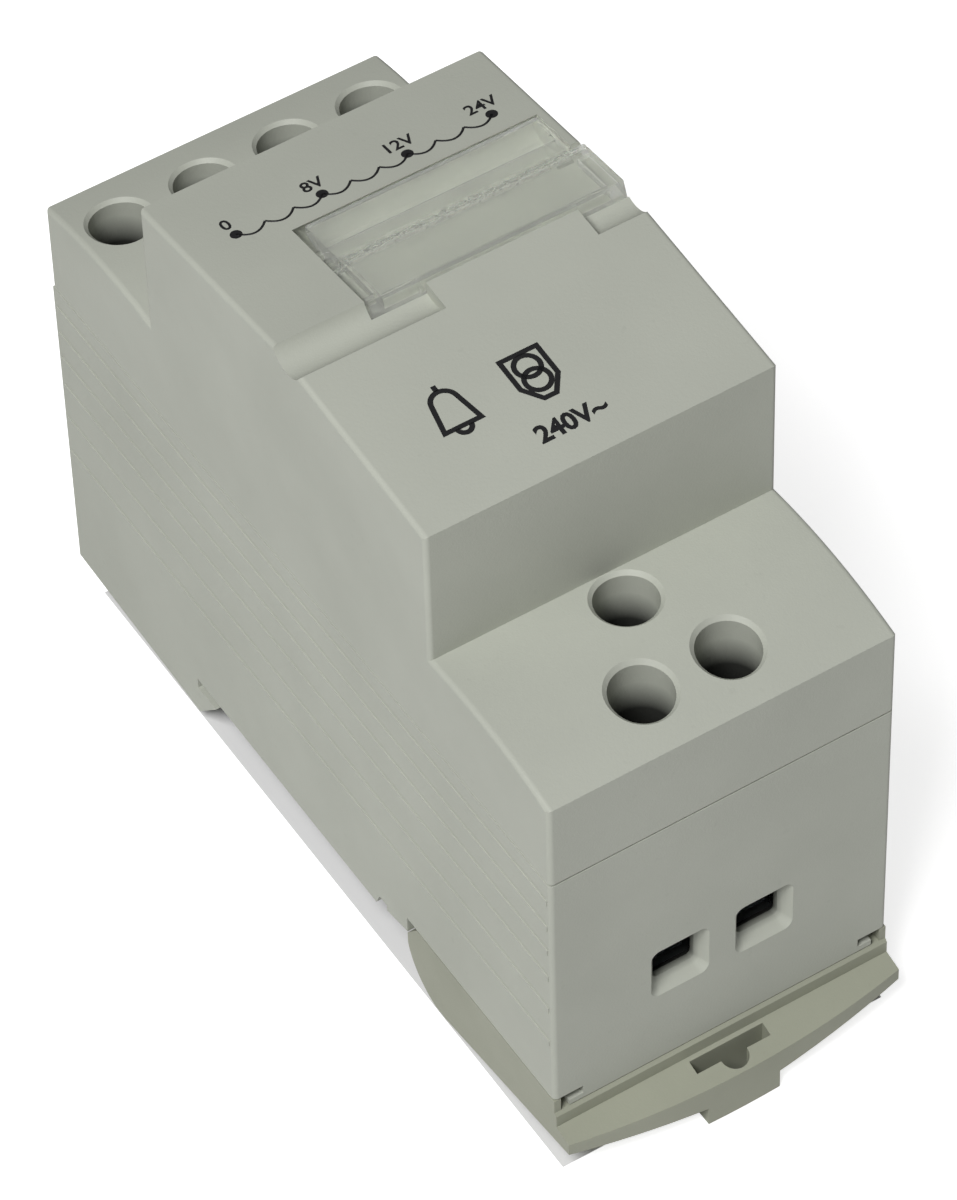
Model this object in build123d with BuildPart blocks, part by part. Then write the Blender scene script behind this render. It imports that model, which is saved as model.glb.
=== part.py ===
# Two-module bell transformer for a 35 mm top-hat rail, drawn lying on its back.
# X runs across the width, -Y is the supply end, +Z points away from the rail.
# The origin is in the middle of the outline, at the height of the clip's lowest edge.
from math import atan2, cos, sin
import os

from build123d import *

os.makedirs("parts", exist_ok=True)

# Housing, all lengths in millimetres
WIDTH = 36.0
LENGTH = 85.0
WALL = 1.8
SEAM_HEIGHT = 39.3
SIDE_RIB_HEIGHTS = (16.5, 21.3, 25.9, 29.7, 33.1, 36.7)
SIDE_RIB_WIDTH = 0.7
SIDE_RIB_PROUD = 0.1
CORNER_ROUND = 0.5
SEAM_BEVEL = 0.25
CUT_MARGIN = 1.0

# Cover outline in the side view
SHOULDER_END_HEIGHT = 49.7
SHOULDER_MID_HEIGHT = 51.2
SHOULDER_ROOT_HEIGHT = 51.0
SHOULDER_ROUND = 1.7
NOSE_LENGTH = 47.4
NOSE_NEAR_HEIGHT = 67.1
NOSE_FAR_HEIGHT = 65.95
NOSE_NEAR_ROUND = 1.8
NOSE_FAR_ROUND = 0.9
RIDGE_Y = 0.5
RIDGE_HEIGHT = 69.05
NOSE_ROOF_INSIDE = 64.2
REBATE_DEPTH = 1.2
REBATE_PLAY = 0.05

# Rail seat and hook on the back
RAIL_WIDTH = 35.0
RAIL_THICKNESS = 1.0
RAIL_PLAY = 0.1
RAIL_MIDDLE = 2.3
SEAT_HEIGHT = 4.9
HOOK_REACH = 3.3
HOOK_SLOT = 1.3
BACK_RISE = 1.1
RELIEF_DEPTH = 1.5
RELIEF_WIDTH = 1.9
RELIEF_SETBACK = 3.0
RELIEF_RAMP = 0.65
RELIEF_NIB = 0.75

# Rail clip that slides under the supply end
CLIP_FRONT = -17.7
CLIP_PLATE = 1.65
CLIP_TRAVEL = 4.0
CLIP_PLAY = 0.15
CLIP_SIDE_TOP = 8.3
CLIP_BAY_ROOF = 1.2
CLIP_SIDE_WALL = 1.45
CLIP_SKIN = 0.7
CLIP_FLANGE = 1.5
CLIP_FLANGE_THICKNESS = 0.75
CLIP_FLANGE_END = -40.3
CLIP_FOOT_RUN = 4.5
CLIP_FOOT_RADIUS = 6.5
CLIP_FOOT_FLAT = 1.7
CLIP_LIP_TOP = 6.6
CLIP_LIP_PROUD = 0.3
CLIP_LIP_THICKNESS = 1.2
CLIP_END_SLOPE = 0.25
CLIP_CORNER_REACH = 2.3
CLIP_MIDDLE_REACH = 3.9
CLIP_TAB_WIDTH = 7.8
CLIP_TAB_ROOT = 1.0
CLIP_TAB_BELOW = 1.35
CLIP_CORNER_HEIGHT = 2.9
CATCH_OVERLAP = 1.7
CATCH_WIDTH = 18.0
CATCH_THICKNESS = 1.6
CATCH_TIP = 0.55
DRIVER_SLOT_WIDTH = 8.0
DRIVER_SLOT_GAP = 1.35
DRIVER_SLOT_OUT = 1.4
DRIVER_NOTCH_RADIUS = 1.4
LATCH_ARM_WIDTH = 5.0
LATCH_ARM_LENGTH = 11.0
LATCH_ARM_GAP = 0.8

# Screw terminals
POLE_PITCH = 9.0
SUPPLY_POLES = 2
OUTPUT_POLES = 4
TERMINAL_SETBACK = 6.1
WELL_RADIUS = 3.0
WELL_WALL = 0.9
WELL_RIM = 0.4
WELL_LIP_RADIUS = 2.3
WELL_LIP = 1.0
POCKET_WIDTH = 6.6
POCKET_LENGTH = 9.2
POCKET_FLOOR = 15.4
POCKET_SHELF = 1.2
BLOCK_TOP = 31.0
CROSS_WALL = 1.4
CROSS_WALL_TOP = 33.0
ENTRY_WIDTH = 4.4
ENTRY_BOTTOM = 17.1
ENTRY_TOP = 22.0
FUNNEL_WIDTH = 6.2
FUNNEL_BOTTOM = 15.9
FUNNEL_TOP = 22.3
FUNNEL_DEPTH = 1.2
CAGE_WIDTH = 6.0
CAGE_LENGTH = 6.0
CAGE_WALL = 0.8
CAGE_FLOOR = 1.3
CAGE_NUT = 2.0
CAGE_PLAY = 0.2
CAGE_ROUND = 0.4
GRIP_PITCH = 1.5
GRIP_GROOVE = 0.4
SCREW_RADIUS = 1.7
SCREW_PLAY = 0.05
SCREW_HEAD_RADIUS = 2.75
SCREW_HEAD = 2.2
SCREW_SLOT = 0.9
SCREW_SLOT_DEPTH = 1.1
SCREW_BEVEL = 0.28
SCREW_PITCH = 0.6
SCREW_TURNS = 6.5
BAR_BOTTOM = 21.5
BAR_WIDTH = 4.0
BAR_THICKNESS = 1.0
BAR_END_WIDTH = 5.6
BAR_END_SEAT = 0.6
TAG_WIDTH = 3.0
TAG_THICKNESS = 0.8
TAG_TOP = 27.5
TAG_OFFSET = 0.6

# Cover screw
COVER_SCREW_SETBACK = 15.3
COVER_SCREW_SEAT = 38.5
COVER_SCREW_RADIUS = 1.45
COVER_SCREW_HEAD_RADIUS = 2.6
COVER_SCREW_HEAD = 2.0
COVER_SCREW_ROUND = 0.65
COVER_SCREW_POINT = 0.7
COVER_SCREW_LENGTH = 12.0
COVER_BOSS_RADIUS = 2.7
SNAP_TONGUE_WIDTH = 3.2
SNAP_TONGUE = 1.2
SNAP_TONGUE_DEPTH = 3.4
SNAP_BARB = 0.5
SNAP_RAMP = 0.7
SNAP_LAND = 0.7

# Label window and its hinged flap
WINDOW_LEFT = -8.7
WINDOW_DEPTH = 2.1
WINDOW_FLOOR_SKIN = 1.3
FLAP_LENGTH = 12.25
FLAP_LEFT = -7.5
FLAP_TOP_SKIN = 0.9
FLAP_REAR_THICKNESS = 1.6
FLAP_WALL = 0.7
FLAP_WALL_DROP = 1.9
FLAP_STEP = 6.45
FLAP_LEAN = 0.45
FLAP_PLAY = 0.2
TAB_LEFT_END = -3.0
TAB_RIGHT_START = 12.75
HINGE_ALONG = 9.75
HINGE_DEPTH = 1.75
HINGE_PIN_RADIUS = 0.5
HINGE_PIN_PLAY = 0.05
HINGE_PIN_SEAT = 0.75
HINGE_WALL = 1.1
HINGE_WALL_START = 7.05
GROOVE_Y = -1.45
GROOVE_RADIUS = 2.4
GROOVE_FLOOR_HEIGHT = 67.5
FACET_LIP_Y = -0.2

# Transformer core and coil
LAMINATION_LENGTH = 42.0
CORE_LEG = 7.0
CORE_BASE = 8.2
CORE_HOLE_RADIUS = 1.8
CORE_PLAY = 0.15
BOBBIN_WALL = 1.0
BOBBIN_SIDE_REACH = 6.1
BOBBIN_SIDE_GAP = 1.35
PRIMARY_SHARE = 0.55
COIL_MARGIN = 0.7
TAPE = 0.25
CRADLE_RIB = 1.2
CRADLE_TOP = 14.0
LEAD_RADIUS = 0.8
LEAD_BEND = 1.7
PTC_RADIUS = 4.0
PTC_THICKNESS = 3.0
PTC_SIDE_GAP = 1.0
PTC_HEIGHT = 27.0
PTC_LEAD_RADIUS = 0.5
PTC_LEAD_SPREAD = 1.3
PTC_ROUND = 0.6
LEAD_START = 11.9

# Places that follow from the sizes above; y is counted from the housing's middle, and
# heights from the lowest edge of the rail hook
half_width = WIDTH / 2
half_length = LENGTH / 2
inner_half = half_width - WALL
inner_end = half_length - WALL
nose_half = NOSE_LENGTH / 2
mid_y = CLIP_MIDDLE_REACH / 2
rail_far = RAIL_MIDDLE + RAIL_WIDTH / 2 + RAIL_PLAY
rail_near = RAIL_MIDDLE - RAIL_WIDTH / 2
lip_top = SEAT_HEIGHT - HOOK_SLOT
clip_roof = SEAT_HEIGHT + RAIL_PLAY
floor_top = SEAT_HEIGHT + WALL
terminal_y = half_length - TERMINAL_SETBACK
cross_y = inner_end - POCKET_LENGTH
cover_screw_y = -(half_length - COVER_SCREW_SETBACK)
facet_tilt = atan2(RIDGE_HEIGHT - NOSE_FAR_HEIGHT, nose_half - RIDGE_Y)
bar_top = BAR_BOTTOM + BAR_THICKNESS
cage_bottom = POCKET_FLOOR + CAGE_PLAY
cage_top = bar_top + CAGE_PLAY + CAGE_NUT
cage_travel = SCREW_TURNS * SCREW_PITCH
head_seat = cage_top + cage_travel + CAGE_PLAY
well_bottom = head_seat + SCREW_HEAD + CAGE_PLAY
core_top = CORE_BASE + LAMINATION_LENGTH - CORE_LEG
core_half = LAMINATION_LENGTH / 2
stack = 2 * (inner_half - BOBBIN_SIDE_GAP - BOBBIN_SIDE_REACH)
window_bottom = CORE_BASE + CORE_LEG
window_top = core_top - CORE_LEG
slide_top = CLIP_SIDE_TOP + CLIP_PLAY
ptc_x = inner_half - PTC_SIDE_GAP - PTC_RADIUS


def side(x=0.0):
    """Plane seen from +X: its x runs along the length and its y is the height."""
    return Plane(origin=(x, mid_y, CLIP_TAB_BELOW), x_dir=(0, 1, 0), z_dir=(1, 0, 0))


def level(height=0.0):
    """Horizontal plane over the housing's middle."""
    return Plane(origin=(0, mid_y, CLIP_TAB_BELOW + height), x_dir=(1, 0, 0), z_dir=(0, 0, 1))


def facing_supply(y=0.0):
    """Upright plane that faces -Y: its x runs across and its y is the height."""
    return Plane(origin=(0, mid_y + y, CLIP_TAB_BELOW), x_dir=(1, 0, 0), z_dir=(0, -1, 0))


def facet_side(x=0.0):
    """Side-view plane laid on the far facet: x runs down the facet, y stands out of it."""
    return Plane(
        origin=(x, mid_y + RIDGE_Y, CLIP_TAB_BELOW + RIDGE_HEIGHT),
        x_dir=(0, cos(facet_tilt), -sin(facet_tilt)),
        z_dir=(1, 0, 0),
    )


def height_of(edge):
    """Height of an edge's middle, counted as all heights are."""
    return edge.center().Z - CLIP_TAB_BELOW


def pole_places(count):
    """X positions of a row of terminals."""
    return [(i - (count - 1) / 2) * POLE_PITCH for i in range(count)]


def save(part, name):
    """Label one finished piece and write it."""
    part.label = name
    export_step(part, f"parts/{name}.step")


ends = ((-1, SUPPLY_POLES, "supply"), (1, OUTPUT_POLES, "output"))

# Base housing: open tray with rail hook, terminal blocks and core cradle
relief_start = rail_near + RELIEF_SETBACK
tray_floor = [
    (-inner_end, CORE_BASE),
    (relief_start + WALL, CORE_BASE),
    (relief_start + WALL, floor_top),
    (rail_far + WALL, floor_top),
    (rail_far + WALL, BACK_RISE + WALL),
    (inner_end, BACK_RISE + WALL),
]
pole_block_half = {-1: (SUPPLY_POLES * POLE_PITCH + WALL) / 2, 1: inner_half}
block_foot = {-1: clip_roof + WALL, 1: BACK_RISE + WALL / 2}

with BuildPart() as base_housing:
    with BuildSketch(side()):
        with BuildLine():
            Polyline(
                (-half_length, clip_roof),
                (-half_length, SEAM_HEIGHT),
                (half_length, SEAM_HEIGHT),
                (half_length, BACK_RISE),
                (rail_far, 0),
                (rail_far - HOOK_REACH, lip_top),
                (rail_far, lip_top),
                (rail_far, SEAT_HEIGHT),
                (relief_start, SEAT_HEIGHT),
                (relief_start - RELIEF_RAMP, SEAT_HEIGHT + RELIEF_DEPTH),
                (relief_start - RELIEF_WIDTH, SEAT_HEIGHT + RELIEF_DEPTH),
                (relief_start - RELIEF_WIDTH, SEAT_HEIGHT + RELIEF_NIB),
                (CLIP_FRONT, SEAT_HEIGHT + RELIEF_DEPTH),
                (CLIP_FRONT, clip_roof),
                close=True,
            )
        make_face()
    extrude(amount=half_width, both=True)
    fillet(base_housing.edges().filter_by(Axis.Z).group_by(Axis.Z)[-1], CORNER_ROUND)

    # Low ribs along both sides
    for height in SIDE_RIB_HEIGHTS:
        with BuildSketch(level(height)):
            Rectangle(2 * (half_width + SIDE_RIB_PROUD), LENGTH - 2 * CORNER_ROUND)
        extrude(amount=SIDE_RIB_WIDTH / 2, both=True)

    # Hollow, with a step where the floor drops behind the rail hook
    with BuildSketch(side()):
        with BuildLine():
            Polyline(
                *tray_floor,
                (inner_end, SEAM_HEIGHT),
                (-inner_end, SEAM_HEIGHT),
                close=True,
            )
        make_face()
    extrude(amount=inner_half, both=True, mode=Mode.SUBTRACT)

    # Inner half of the wall stands up into the cover
    with BuildSketch(level(SEAM_HEIGHT)):
        Rectangle(WIDTH - WALL, LENGTH - WALL)
        Rectangle(2 * inner_half, 2 * inner_end, mode=Mode.SUBTRACT)
    extrude(amount=REBATE_DEPTH)

    # Terminal block at each end: cross wall, shelf and ribs, then a pocket for each cage
    for sign, poles, _ in ends:
        block_half = pole_block_half[sign]
        with BuildSketch(level(block_foot[sign])):
            with Locations((0, sign * (cross_y - CROSS_WALL / 2))):
                Rectangle(2 * inner_half, CROSS_WALL)
        extrude(amount=CROSS_WALL_TOP - block_foot[sign])
        with BuildSketch(level(POCKET_FLOOR - POCKET_SHELF)):
            with Locations((0, sign * (cross_y + inner_end) / 2)):
                Rectangle(2 * block_half, POCKET_LENGTH)
        extrude(amount=BLOCK_TOP - POCKET_FLOOR + POCKET_SHELF)
        with BuildSketch(level(block_foot[sign])):
            for x in pole_places(poles + 1):
                if abs(x) < inner_half:
                    with Locations((x, sign * (cross_y + inner_end) / 2)):
                        Rectangle(WALL, POCKET_LENGTH)
        extrude(amount=POCKET_FLOOR - block_foot[sign])
        with BuildSketch(level(POCKET_FLOOR)):
            for x in pole_places(poles):
                with Locations((x, sign * (cross_y + inner_end) / 2)):
                    Rectangle(POCKET_WIDTH, POCKET_LENGTH)
        extrude(amount=CROSS_WALL_TOP - POCKET_FLOOR + CUT_MARGIN, mode=Mode.SUBTRACT)
        # Seats for the contact bars in the cross wall and in the end wall
        with BuildSketch(level(BAR_BOTTOM)):
            for x in pole_places(poles):
                with Locations((x, sign * (cross_y - CROSS_WALL / 2))):
                    Rectangle(BAR_WIDTH, CROSS_WALL)
        extrude(amount=CROSS_WALL_TOP - BAR_BOTTOM, mode=Mode.SUBTRACT)
        with BuildSketch(level(BAR_BOTTOM)):
            for x in pole_places(poles):
                with Locations((x, sign * inner_end)):
                    Rectangle(BAR_END_WIDTH, 2 * BAR_END_SEAT)
        extrude(amount=BAR_THICKNESS + CAGE_PLAY, mode=Mode.SUBTRACT)
        # Wire entries with a funnel on the outside
        with BuildSketch(facing_supply(sign * half_length)):
            for x in pole_places(poles):
                with Locations((x, (ENTRY_BOTTOM + ENTRY_TOP) / 2)):
                    RectangleRounded(ENTRY_WIDTH, ENTRY_TOP - ENTRY_BOTTOM, CORNER_ROUND)
        extrude(amount=WALL, both=True, mode=Mode.SUBTRACT)
        for x in pole_places(poles):
            with BuildSketch(facing_supply(sign * half_length)):
                with Locations((x, (FUNNEL_BOTTOM + FUNNEL_TOP) / 2)):
                    RectangleRounded(FUNNEL_WIDTH, FUNNEL_TOP - FUNNEL_BOTTOM, 2 * CORNER_ROUND)
            with BuildSketch(facing_supply(sign * (half_length - FUNNEL_DEPTH))):
                with Locations((x, (ENTRY_BOTTOM + ENTRY_TOP) / 2)):
                    RectangleRounded(ENTRY_WIDTH, ENTRY_TOP - ENTRY_BOTTOM, CORNER_ROUND)
            loft(mode=Mode.SUBTRACT)

    # Cradle that holds the core: seat, end ribs and side ribs
    with BuildSketch(level(floor_top)):
        with Locations((0, core_half - CORE_LEG / 2)):
            Rectangle(stack, CORE_LEG)
    extrude(amount=CORE_BASE - floor_top)
    with BuildSketch(level(floor_top)):
        for sign in (-1, 1):
            with Locations((0, sign * (core_half + CORE_PLAY + CRADLE_RIB / 2))):
                Rectangle(stack + 2 * CORE_PLAY + 2 * CRADLE_RIB, CRADLE_RIB)
            for x_sign in (-1, 1):
                with Locations(
                    (
                        x_sign * (stack / 2 + CORE_PLAY + CRADLE_RIB / 2),
                        sign * (core_half + CORE_PLAY + CRADLE_RIB - CORE_LEG / 2),
                    )
                ):
                    Rectangle(CRADLE_RIB, CORE_LEG)
    extrude(amount=CRADLE_TOP - floor_top)

    # Thicker floor above the grooves that guide the clip
    groove_reach = half_width - CLIP_SIDE_WALL - CLIP_FLANGE - CLIP_PLAY
    with BuildSketch(level(CORE_BASE)):
        for x_sign in (-1, 1):
            with Locations(
                (
                    x_sign * (groove_reach - CLIP_BAY_ROOF + inner_half) / 2,
                    (CLIP_FRONT + WALL - inner_end) / 2,
                )
            ):
                Rectangle(inner_half - groove_reach + CLIP_BAY_ROOF, CLIP_FRONT + WALL + inner_end)
    extrude(amount=slide_top + CLIP_BAY_ROOF - CORE_BASE)

    # Boss for the cover screw
    boss_top = COVER_SCREW_SEAT - WALL - CAGE_PLAY
    with BuildSketch(level(block_foot[-1])):
        with Locations((0, cover_screw_y)):
            Circle(COVER_BOSS_RADIUS)
        with Locations((0, (cover_screw_y - cross_y) / 2)):
            Rectangle(CROSS_WALL, cross_y + cover_screw_y)
    extrude(amount=boss_top - block_foot[-1])
    with BuildSketch(level(COVER_SCREW_SEAT - COVER_SCREW_LENGTH - WALL)):
        with Locations((0, cover_screw_y)):
            Circle(COVER_SCREW_RADIUS + SCREW_PLAY)
    extrude(amount=COVER_SCREW_LENGTH + WALL, mode=Mode.SUBTRACT)

    # Ledge that carries the thermistor
    with BuildSketch(level(block_foot[-1])):
        with Locations((ptc_x, -(cross_y - CROSS_WALL - PTC_THICKNESS / 2))):
            Rectangle(2 * PTC_RADIUS - 2 * CORE_PLAY, PTC_THICKNESS)
    extrude(amount=PTC_HEIGHT - PTC_RADIUS - block_foot[-1])

    # Recesses for the cover's snap barbs in the output end wall
    with BuildSketch(level(SEAM_HEIGHT - SNAP_TONGUE_DEPTH - CAGE_PLAY)):
        with Locations(*[(x, inner_end) for x in (-POLE_PITCH, POLE_PITCH)]):
            Rectangle(SNAP_TONGUE_WIDTH + 2 * CAGE_PLAY, 2 * (SNAP_BARB + CORE_PLAY))
    extrude(amount=SNAP_TONGUE_DEPTH / 2, mode=Mode.SUBTRACT)

    # Bay for the clip's side walls and the grooves for their flanges
    groove_bottom = CLIP_SIDE_TOP - CLIP_FLANGE_THICKNESS - CLIP_PLAY
    wall_reach = half_width - CLIP_SIDE_WALL - CLIP_PLAY
    for x_sign in (-1, 1):
        with BuildSketch(facing_supply(-half_length)):
            with BuildLine():
                Polyline(
                    (x_sign * (half_width + CUT_MARGIN), clip_roof - CUT_MARGIN),
                    (x_sign * (half_width + CUT_MARGIN), slide_top),
                    (x_sign * groove_reach, slide_top),
                    (x_sign * groove_reach, groove_bottom),
                    (x_sign * wall_reach, groove_bottom),
                    (x_sign * wall_reach, clip_roof - CUT_MARGIN),
                    close=True,
                )
            make_face()
        extrude(amount=-(half_length + CLIP_FRONT), mode=Mode.SUBTRACT)

    # Recess for the clip's upright lip
    with BuildSketch(facing_supply(-half_length)):
        with Locations((0, clip_roof)):
            Rectangle(
                WIDTH + CUT_MARGIN,
                2 * (CLIP_LIP_TOP + CLIP_PLAY - clip_roof),
            )
    extrude(amount=-(CLIP_LIP_THICKNESS + CLIP_PLAY), mode=Mode.SUBTRACT)

save(base_housing.part, "base_housing")

# Top cover: shoulders, nose with two facets, wells, label window and finger groove
groove_height = GROOVE_FLOOR_HEIGHT + GROOVE_RADIUS
well_places = {
    sign: [(x, sign * terminal_y) for x in pole_places(poles)] for sign, poles, _ in ends
}
all_wells = well_places[-1] + well_places[1]
trough_radius = (
    (FLAP_LENGTH - HINGE_ALONG) ** 2 + HINGE_DEPTH**2
) ** 0.5 + FLAP_PLAY
window_right = half_width - HINGE_WALL

with BuildPart() as top_cover:
    with BuildSketch(side()) as outline:
        with BuildLine():
            Polyline(
                (-half_length, SHOULDER_END_HEIGHT),
                (-half_length, SEAM_HEIGHT),
                (half_length, SEAM_HEIGHT),
                (half_length, SHOULDER_END_HEIGHT),
            )
            ThreePointArc(
                (half_length, SHOULDER_END_HEIGHT),
                ((half_length + nose_half) / 2, SHOULDER_MID_HEIGHT),
                (nose_half, SHOULDER_ROOT_HEIGHT),
            )
            Polyline(
                (nose_half, SHOULDER_ROOT_HEIGHT),
                (nose_half, NOSE_FAR_HEIGHT),
                (RIDGE_Y, RIDGE_HEIGHT),
                (-nose_half, NOSE_NEAR_HEIGHT),
                (-nose_half, SHOULDER_ROOT_HEIGHT),
            )
            ThreePointArc(
                (-nose_half, SHOULDER_ROOT_HEIGHT),
                (-(half_length + nose_half) / 2, SHOULDER_MID_HEIGHT),
                (-half_length, SHOULDER_END_HEIGHT),
            )
        make_face()
        turns = (
            (SHOULDER_END_HEIGHT, SHOULDER_ROUND),
            (NOSE_NEAR_HEIGHT, NOSE_NEAR_ROUND),
            (NOSE_FAR_HEIGHT, NOSE_FAR_ROUND),
        )
        for height, radius in turns:
            corners = outline.vertices().filter_by(
                lambda corner: abs(corner.Z - CLIP_TAB_BELOW - height) < REBATE_PLAY
            )
            fillet(corners, radius)
    extrude(amount=half_width, both=True)
    flanks = top_cover.faces().filter_by(Axis.X).edges()
    fillet(flanks.filter_by(lambda edge: height_of(edge) > SEAM_HEIGHT + WALL), CORNER_ROUND)
    chamfer(top_cover.edges().filter_by(Axis.X).group_by(Axis.Z)[0], SEAM_BEVEL)

    # Hollow under the shoulders and under the nose
    with BuildSketch(side()):
        with BuildLine():
            Polyline(
                (-inner_end, SEAM_HEIGHT),
                (-inner_end, SHOULDER_END_HEIGHT - WALL),
                (-nose_half + WALL, SHOULDER_ROOT_HEIGHT - WALL),
                (-nose_half + WALL, NOSE_ROOF_INSIDE),
                (nose_half - WALL, NOSE_ROOF_INSIDE),
                (nose_half - WALL, SHOULDER_ROOT_HEIGHT - WALL),
                (inner_end, SHOULDER_END_HEIGHT - WALL),
                (inner_end, SEAM_HEIGHT),
                close=True,
            )
        make_face()
    extrude(amount=inner_half, both=True, mode=Mode.SUBTRACT)

    # Thicker roof round the flap's trough
    trough_centre = (HINGE_ALONG, -HINGE_DEPTH)
    with BuildSketch(facet_side(WINDOW_LEFT - WALL)):
        with Locations(trough_centre):
            Circle(trough_radius + WINDOW_FLOOR_SKIN)
            Rectangle(
                2 * (trough_radius + WINDOW_FLOOR_SKIN),
                trough_radius + WINDOW_FLOOR_SKIN,
                align=(Align.CENTER, Align.MIN),
                mode=Mode.SUBTRACT,
            )
    extrude(amount=window_right - WINDOW_LEFT + WALL + HINGE_WALL / 2)

    # Ribs on the nose walls that hold the core down
    for sign in (-1, 1):
        with BuildSketch(level(core_top + CORE_PLAY)):
            for x in (-stack / 2 + CORE_LEG / 4, stack / 2 - CORE_LEG / 4):
                with Locations((x, sign * (nose_half - WALL - CORE_LEG / 4))):
                    Rectangle(CRADLE_RIB, CORE_LEG / 2 + WALL)
        extrude(until=Until.NEXT)

    # Tubes down to the terminal screws and to the cover screw
    with BuildSketch(level(well_bottom)):
        with Locations(*all_wells):
            Circle(WELL_RADIUS + WELL_WALL)
    extrude(amount=SHOULDER_END_HEIGHT - WALL / 2 - well_bottom)
    with BuildSketch(level(COVER_SCREW_SEAT - WALL)):
        with Locations((0, cover_screw_y)):
            Circle(WELL_RADIUS + WELL_WALL)
    extrude(amount=SHOULDER_ROOT_HEIGHT - WALL / 2 - COVER_SCREW_SEAT + WALL)
    with BuildSketch(level(well_bottom + WELL_LIP)):
        with Locations(*all_wells):
            Circle(WELL_RADIUS)
    extrude(amount=SHOULDER_MID_HEIGHT - well_bottom, mode=Mode.SUBTRACT)
    with BuildSketch(level(well_bottom)):
        with Locations(*all_wells):
            Circle(WELL_LIP_RADIUS)
    extrude(amount=WELL_LIP, mode=Mode.SUBTRACT)
    with BuildSketch(level(COVER_SCREW_SEAT)):
        with Locations((0, cover_screw_y)):
            Circle(WELL_RADIUS)
    extrude(amount=SHOULDER_MID_HEIGHT - COVER_SCREW_SEAT + CUT_MARGIN, mode=Mode.SUBTRACT)
    with BuildSketch(level(COVER_SCREW_SEAT - WALL)):
        with Locations((0, cover_screw_y)):
            Circle(COVER_SCREW_RADIUS + SCREW_PLAY)
    extrude(amount=WALL, mode=Mode.SUBTRACT)

    # Tongues with barbs that hook the cover to the output end
    tongue_end = SEAM_HEIGHT - SNAP_TONGUE_DEPTH
    for x in (-POLE_PITCH, POLE_PITCH):
        with BuildSketch(side(x)):
            with BuildLine():
                Polyline(
                    (inner_end + WALL / 2, SHOULDER_END_HEIGHT - WALL / 2),
                    (inner_end - CORE_PLAY - SNAP_TONGUE, SHOULDER_END_HEIGHT - WALL / 2),
                    (inner_end - CORE_PLAY - SNAP_TONGUE, tongue_end),
                    (inner_end - CORE_PLAY, tongue_end),
                    (inner_end + SNAP_BARB - CORE_PLAY, tongue_end + SNAP_RAMP),
                    (inner_end + SNAP_BARB - CORE_PLAY, tongue_end + SNAP_RAMP + SNAP_LAND),
                    (inner_end - CORE_PLAY, tongue_end + SNAP_RAMP + SNAP_LAND),
                    (inner_end - CORE_PLAY, SEAM_HEIGHT + REBATE_DEPTH + CORE_PLAY),
                    (inner_end + WALL / 2, SEAM_HEIGHT + REBATE_DEPTH + CORE_PLAY),
                    close=True,
                )
            make_face()
        extrude(amount=SNAP_TONGUE_WIDTH / 2, both=True)

    # Rebate over the base's rim, and room inside the base's walls below the seam
    with BuildSketch(level(SEAM_HEIGHT)):
        Rectangle(WIDTH - WALL + 2 * REBATE_PLAY, LENGTH - WALL + 2 * REBATE_PLAY)
        Rectangle(2 * (inner_half - CORE_PLAY), 2 * (inner_end - CORE_PLAY), mode=Mode.SUBTRACT)
    extrude(amount=REBATE_DEPTH + REBATE_PLAY, mode=Mode.SUBTRACT)
    with BuildSketch(level(well_bottom - CUT_MARGIN)):
        Rectangle(WIDTH + CUT_MARGIN, inner_end * 2 - 2 * CORE_PLAY)
        Rectangle(2 * (inner_half - CORE_PLAY), LENGTH, mode=Mode.SUBTRACT)
    extrude(amount=SEAM_HEIGHT - well_bottom + CUT_MARGIN, mode=Mode.SUBTRACT)

    # Window for the flap: shallow floor, deep trough behind the hinge, blind pin seats
    with BuildSketch(facet_side(WINDOW_LEFT)):
        with BuildLine():
            Polyline(
                (FACET_LIP_Y - RIDGE_Y, -WINDOW_DEPTH),
                (FACET_LIP_Y - RIDGE_Y, WINDOW_DEPTH),
                (FLAP_LENGTH + FLAP_PLAY, WINDOW_DEPTH),
                (FLAP_LENGTH + FLAP_PLAY, -WINDOW_DEPTH),
                close=True,
            )
        make_face()
        with Locations(trough_centre):
            Circle(trough_radius)
    extrude(amount=window_right - WINDOW_LEFT, mode=Mode.SUBTRACT)
    with BuildSketch(facet_side(window_right)):
        with BuildLine():
            Polyline(
                (FACET_LIP_Y - RIDGE_Y, -WINDOW_DEPTH),
                (FACET_LIP_Y - RIDGE_Y, WINDOW_DEPTH),
                (HINGE_WALL_START, WINDOW_DEPTH),
                (HINGE_WALL_START, -WINDOW_DEPTH),
                close=True,
            )
        make_face()
    extrude(amount=2 * HINGE_WALL, mode=Mode.SUBTRACT)
    with BuildSketch(facet_side(WINDOW_LEFT - HINGE_PIN_SEAT - HINGE_PIN_PLAY)):
        with Locations(trough_centre):
            Circle(HINGE_PIN_RADIUS + HINGE_PIN_PLAY)
    extrude(
        amount=window_right - WINDOW_LEFT + 2 * HINGE_PIN_SEAT + 2 * HINGE_PIN_PLAY,
        mode=Mode.SUBTRACT,
    )

    # Finger groove: an open pocket on each side of the window's near edge
    groove_centre = (GROOVE_Y, groove_height)
    pockets = ((-half_width - CUT_MARGIN, TAB_LEFT_END), (TAB_RIGHT_START, half_width + CUT_MARGIN))
    for start_x, end_x in pockets:
        with BuildSketch(side(start_x)):
            with Locations(groove_centre):
                Circle(GROOVE_RADIUS)
        extrude(amount=end_x - start_x, mode=Mode.SUBTRACT)

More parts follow.
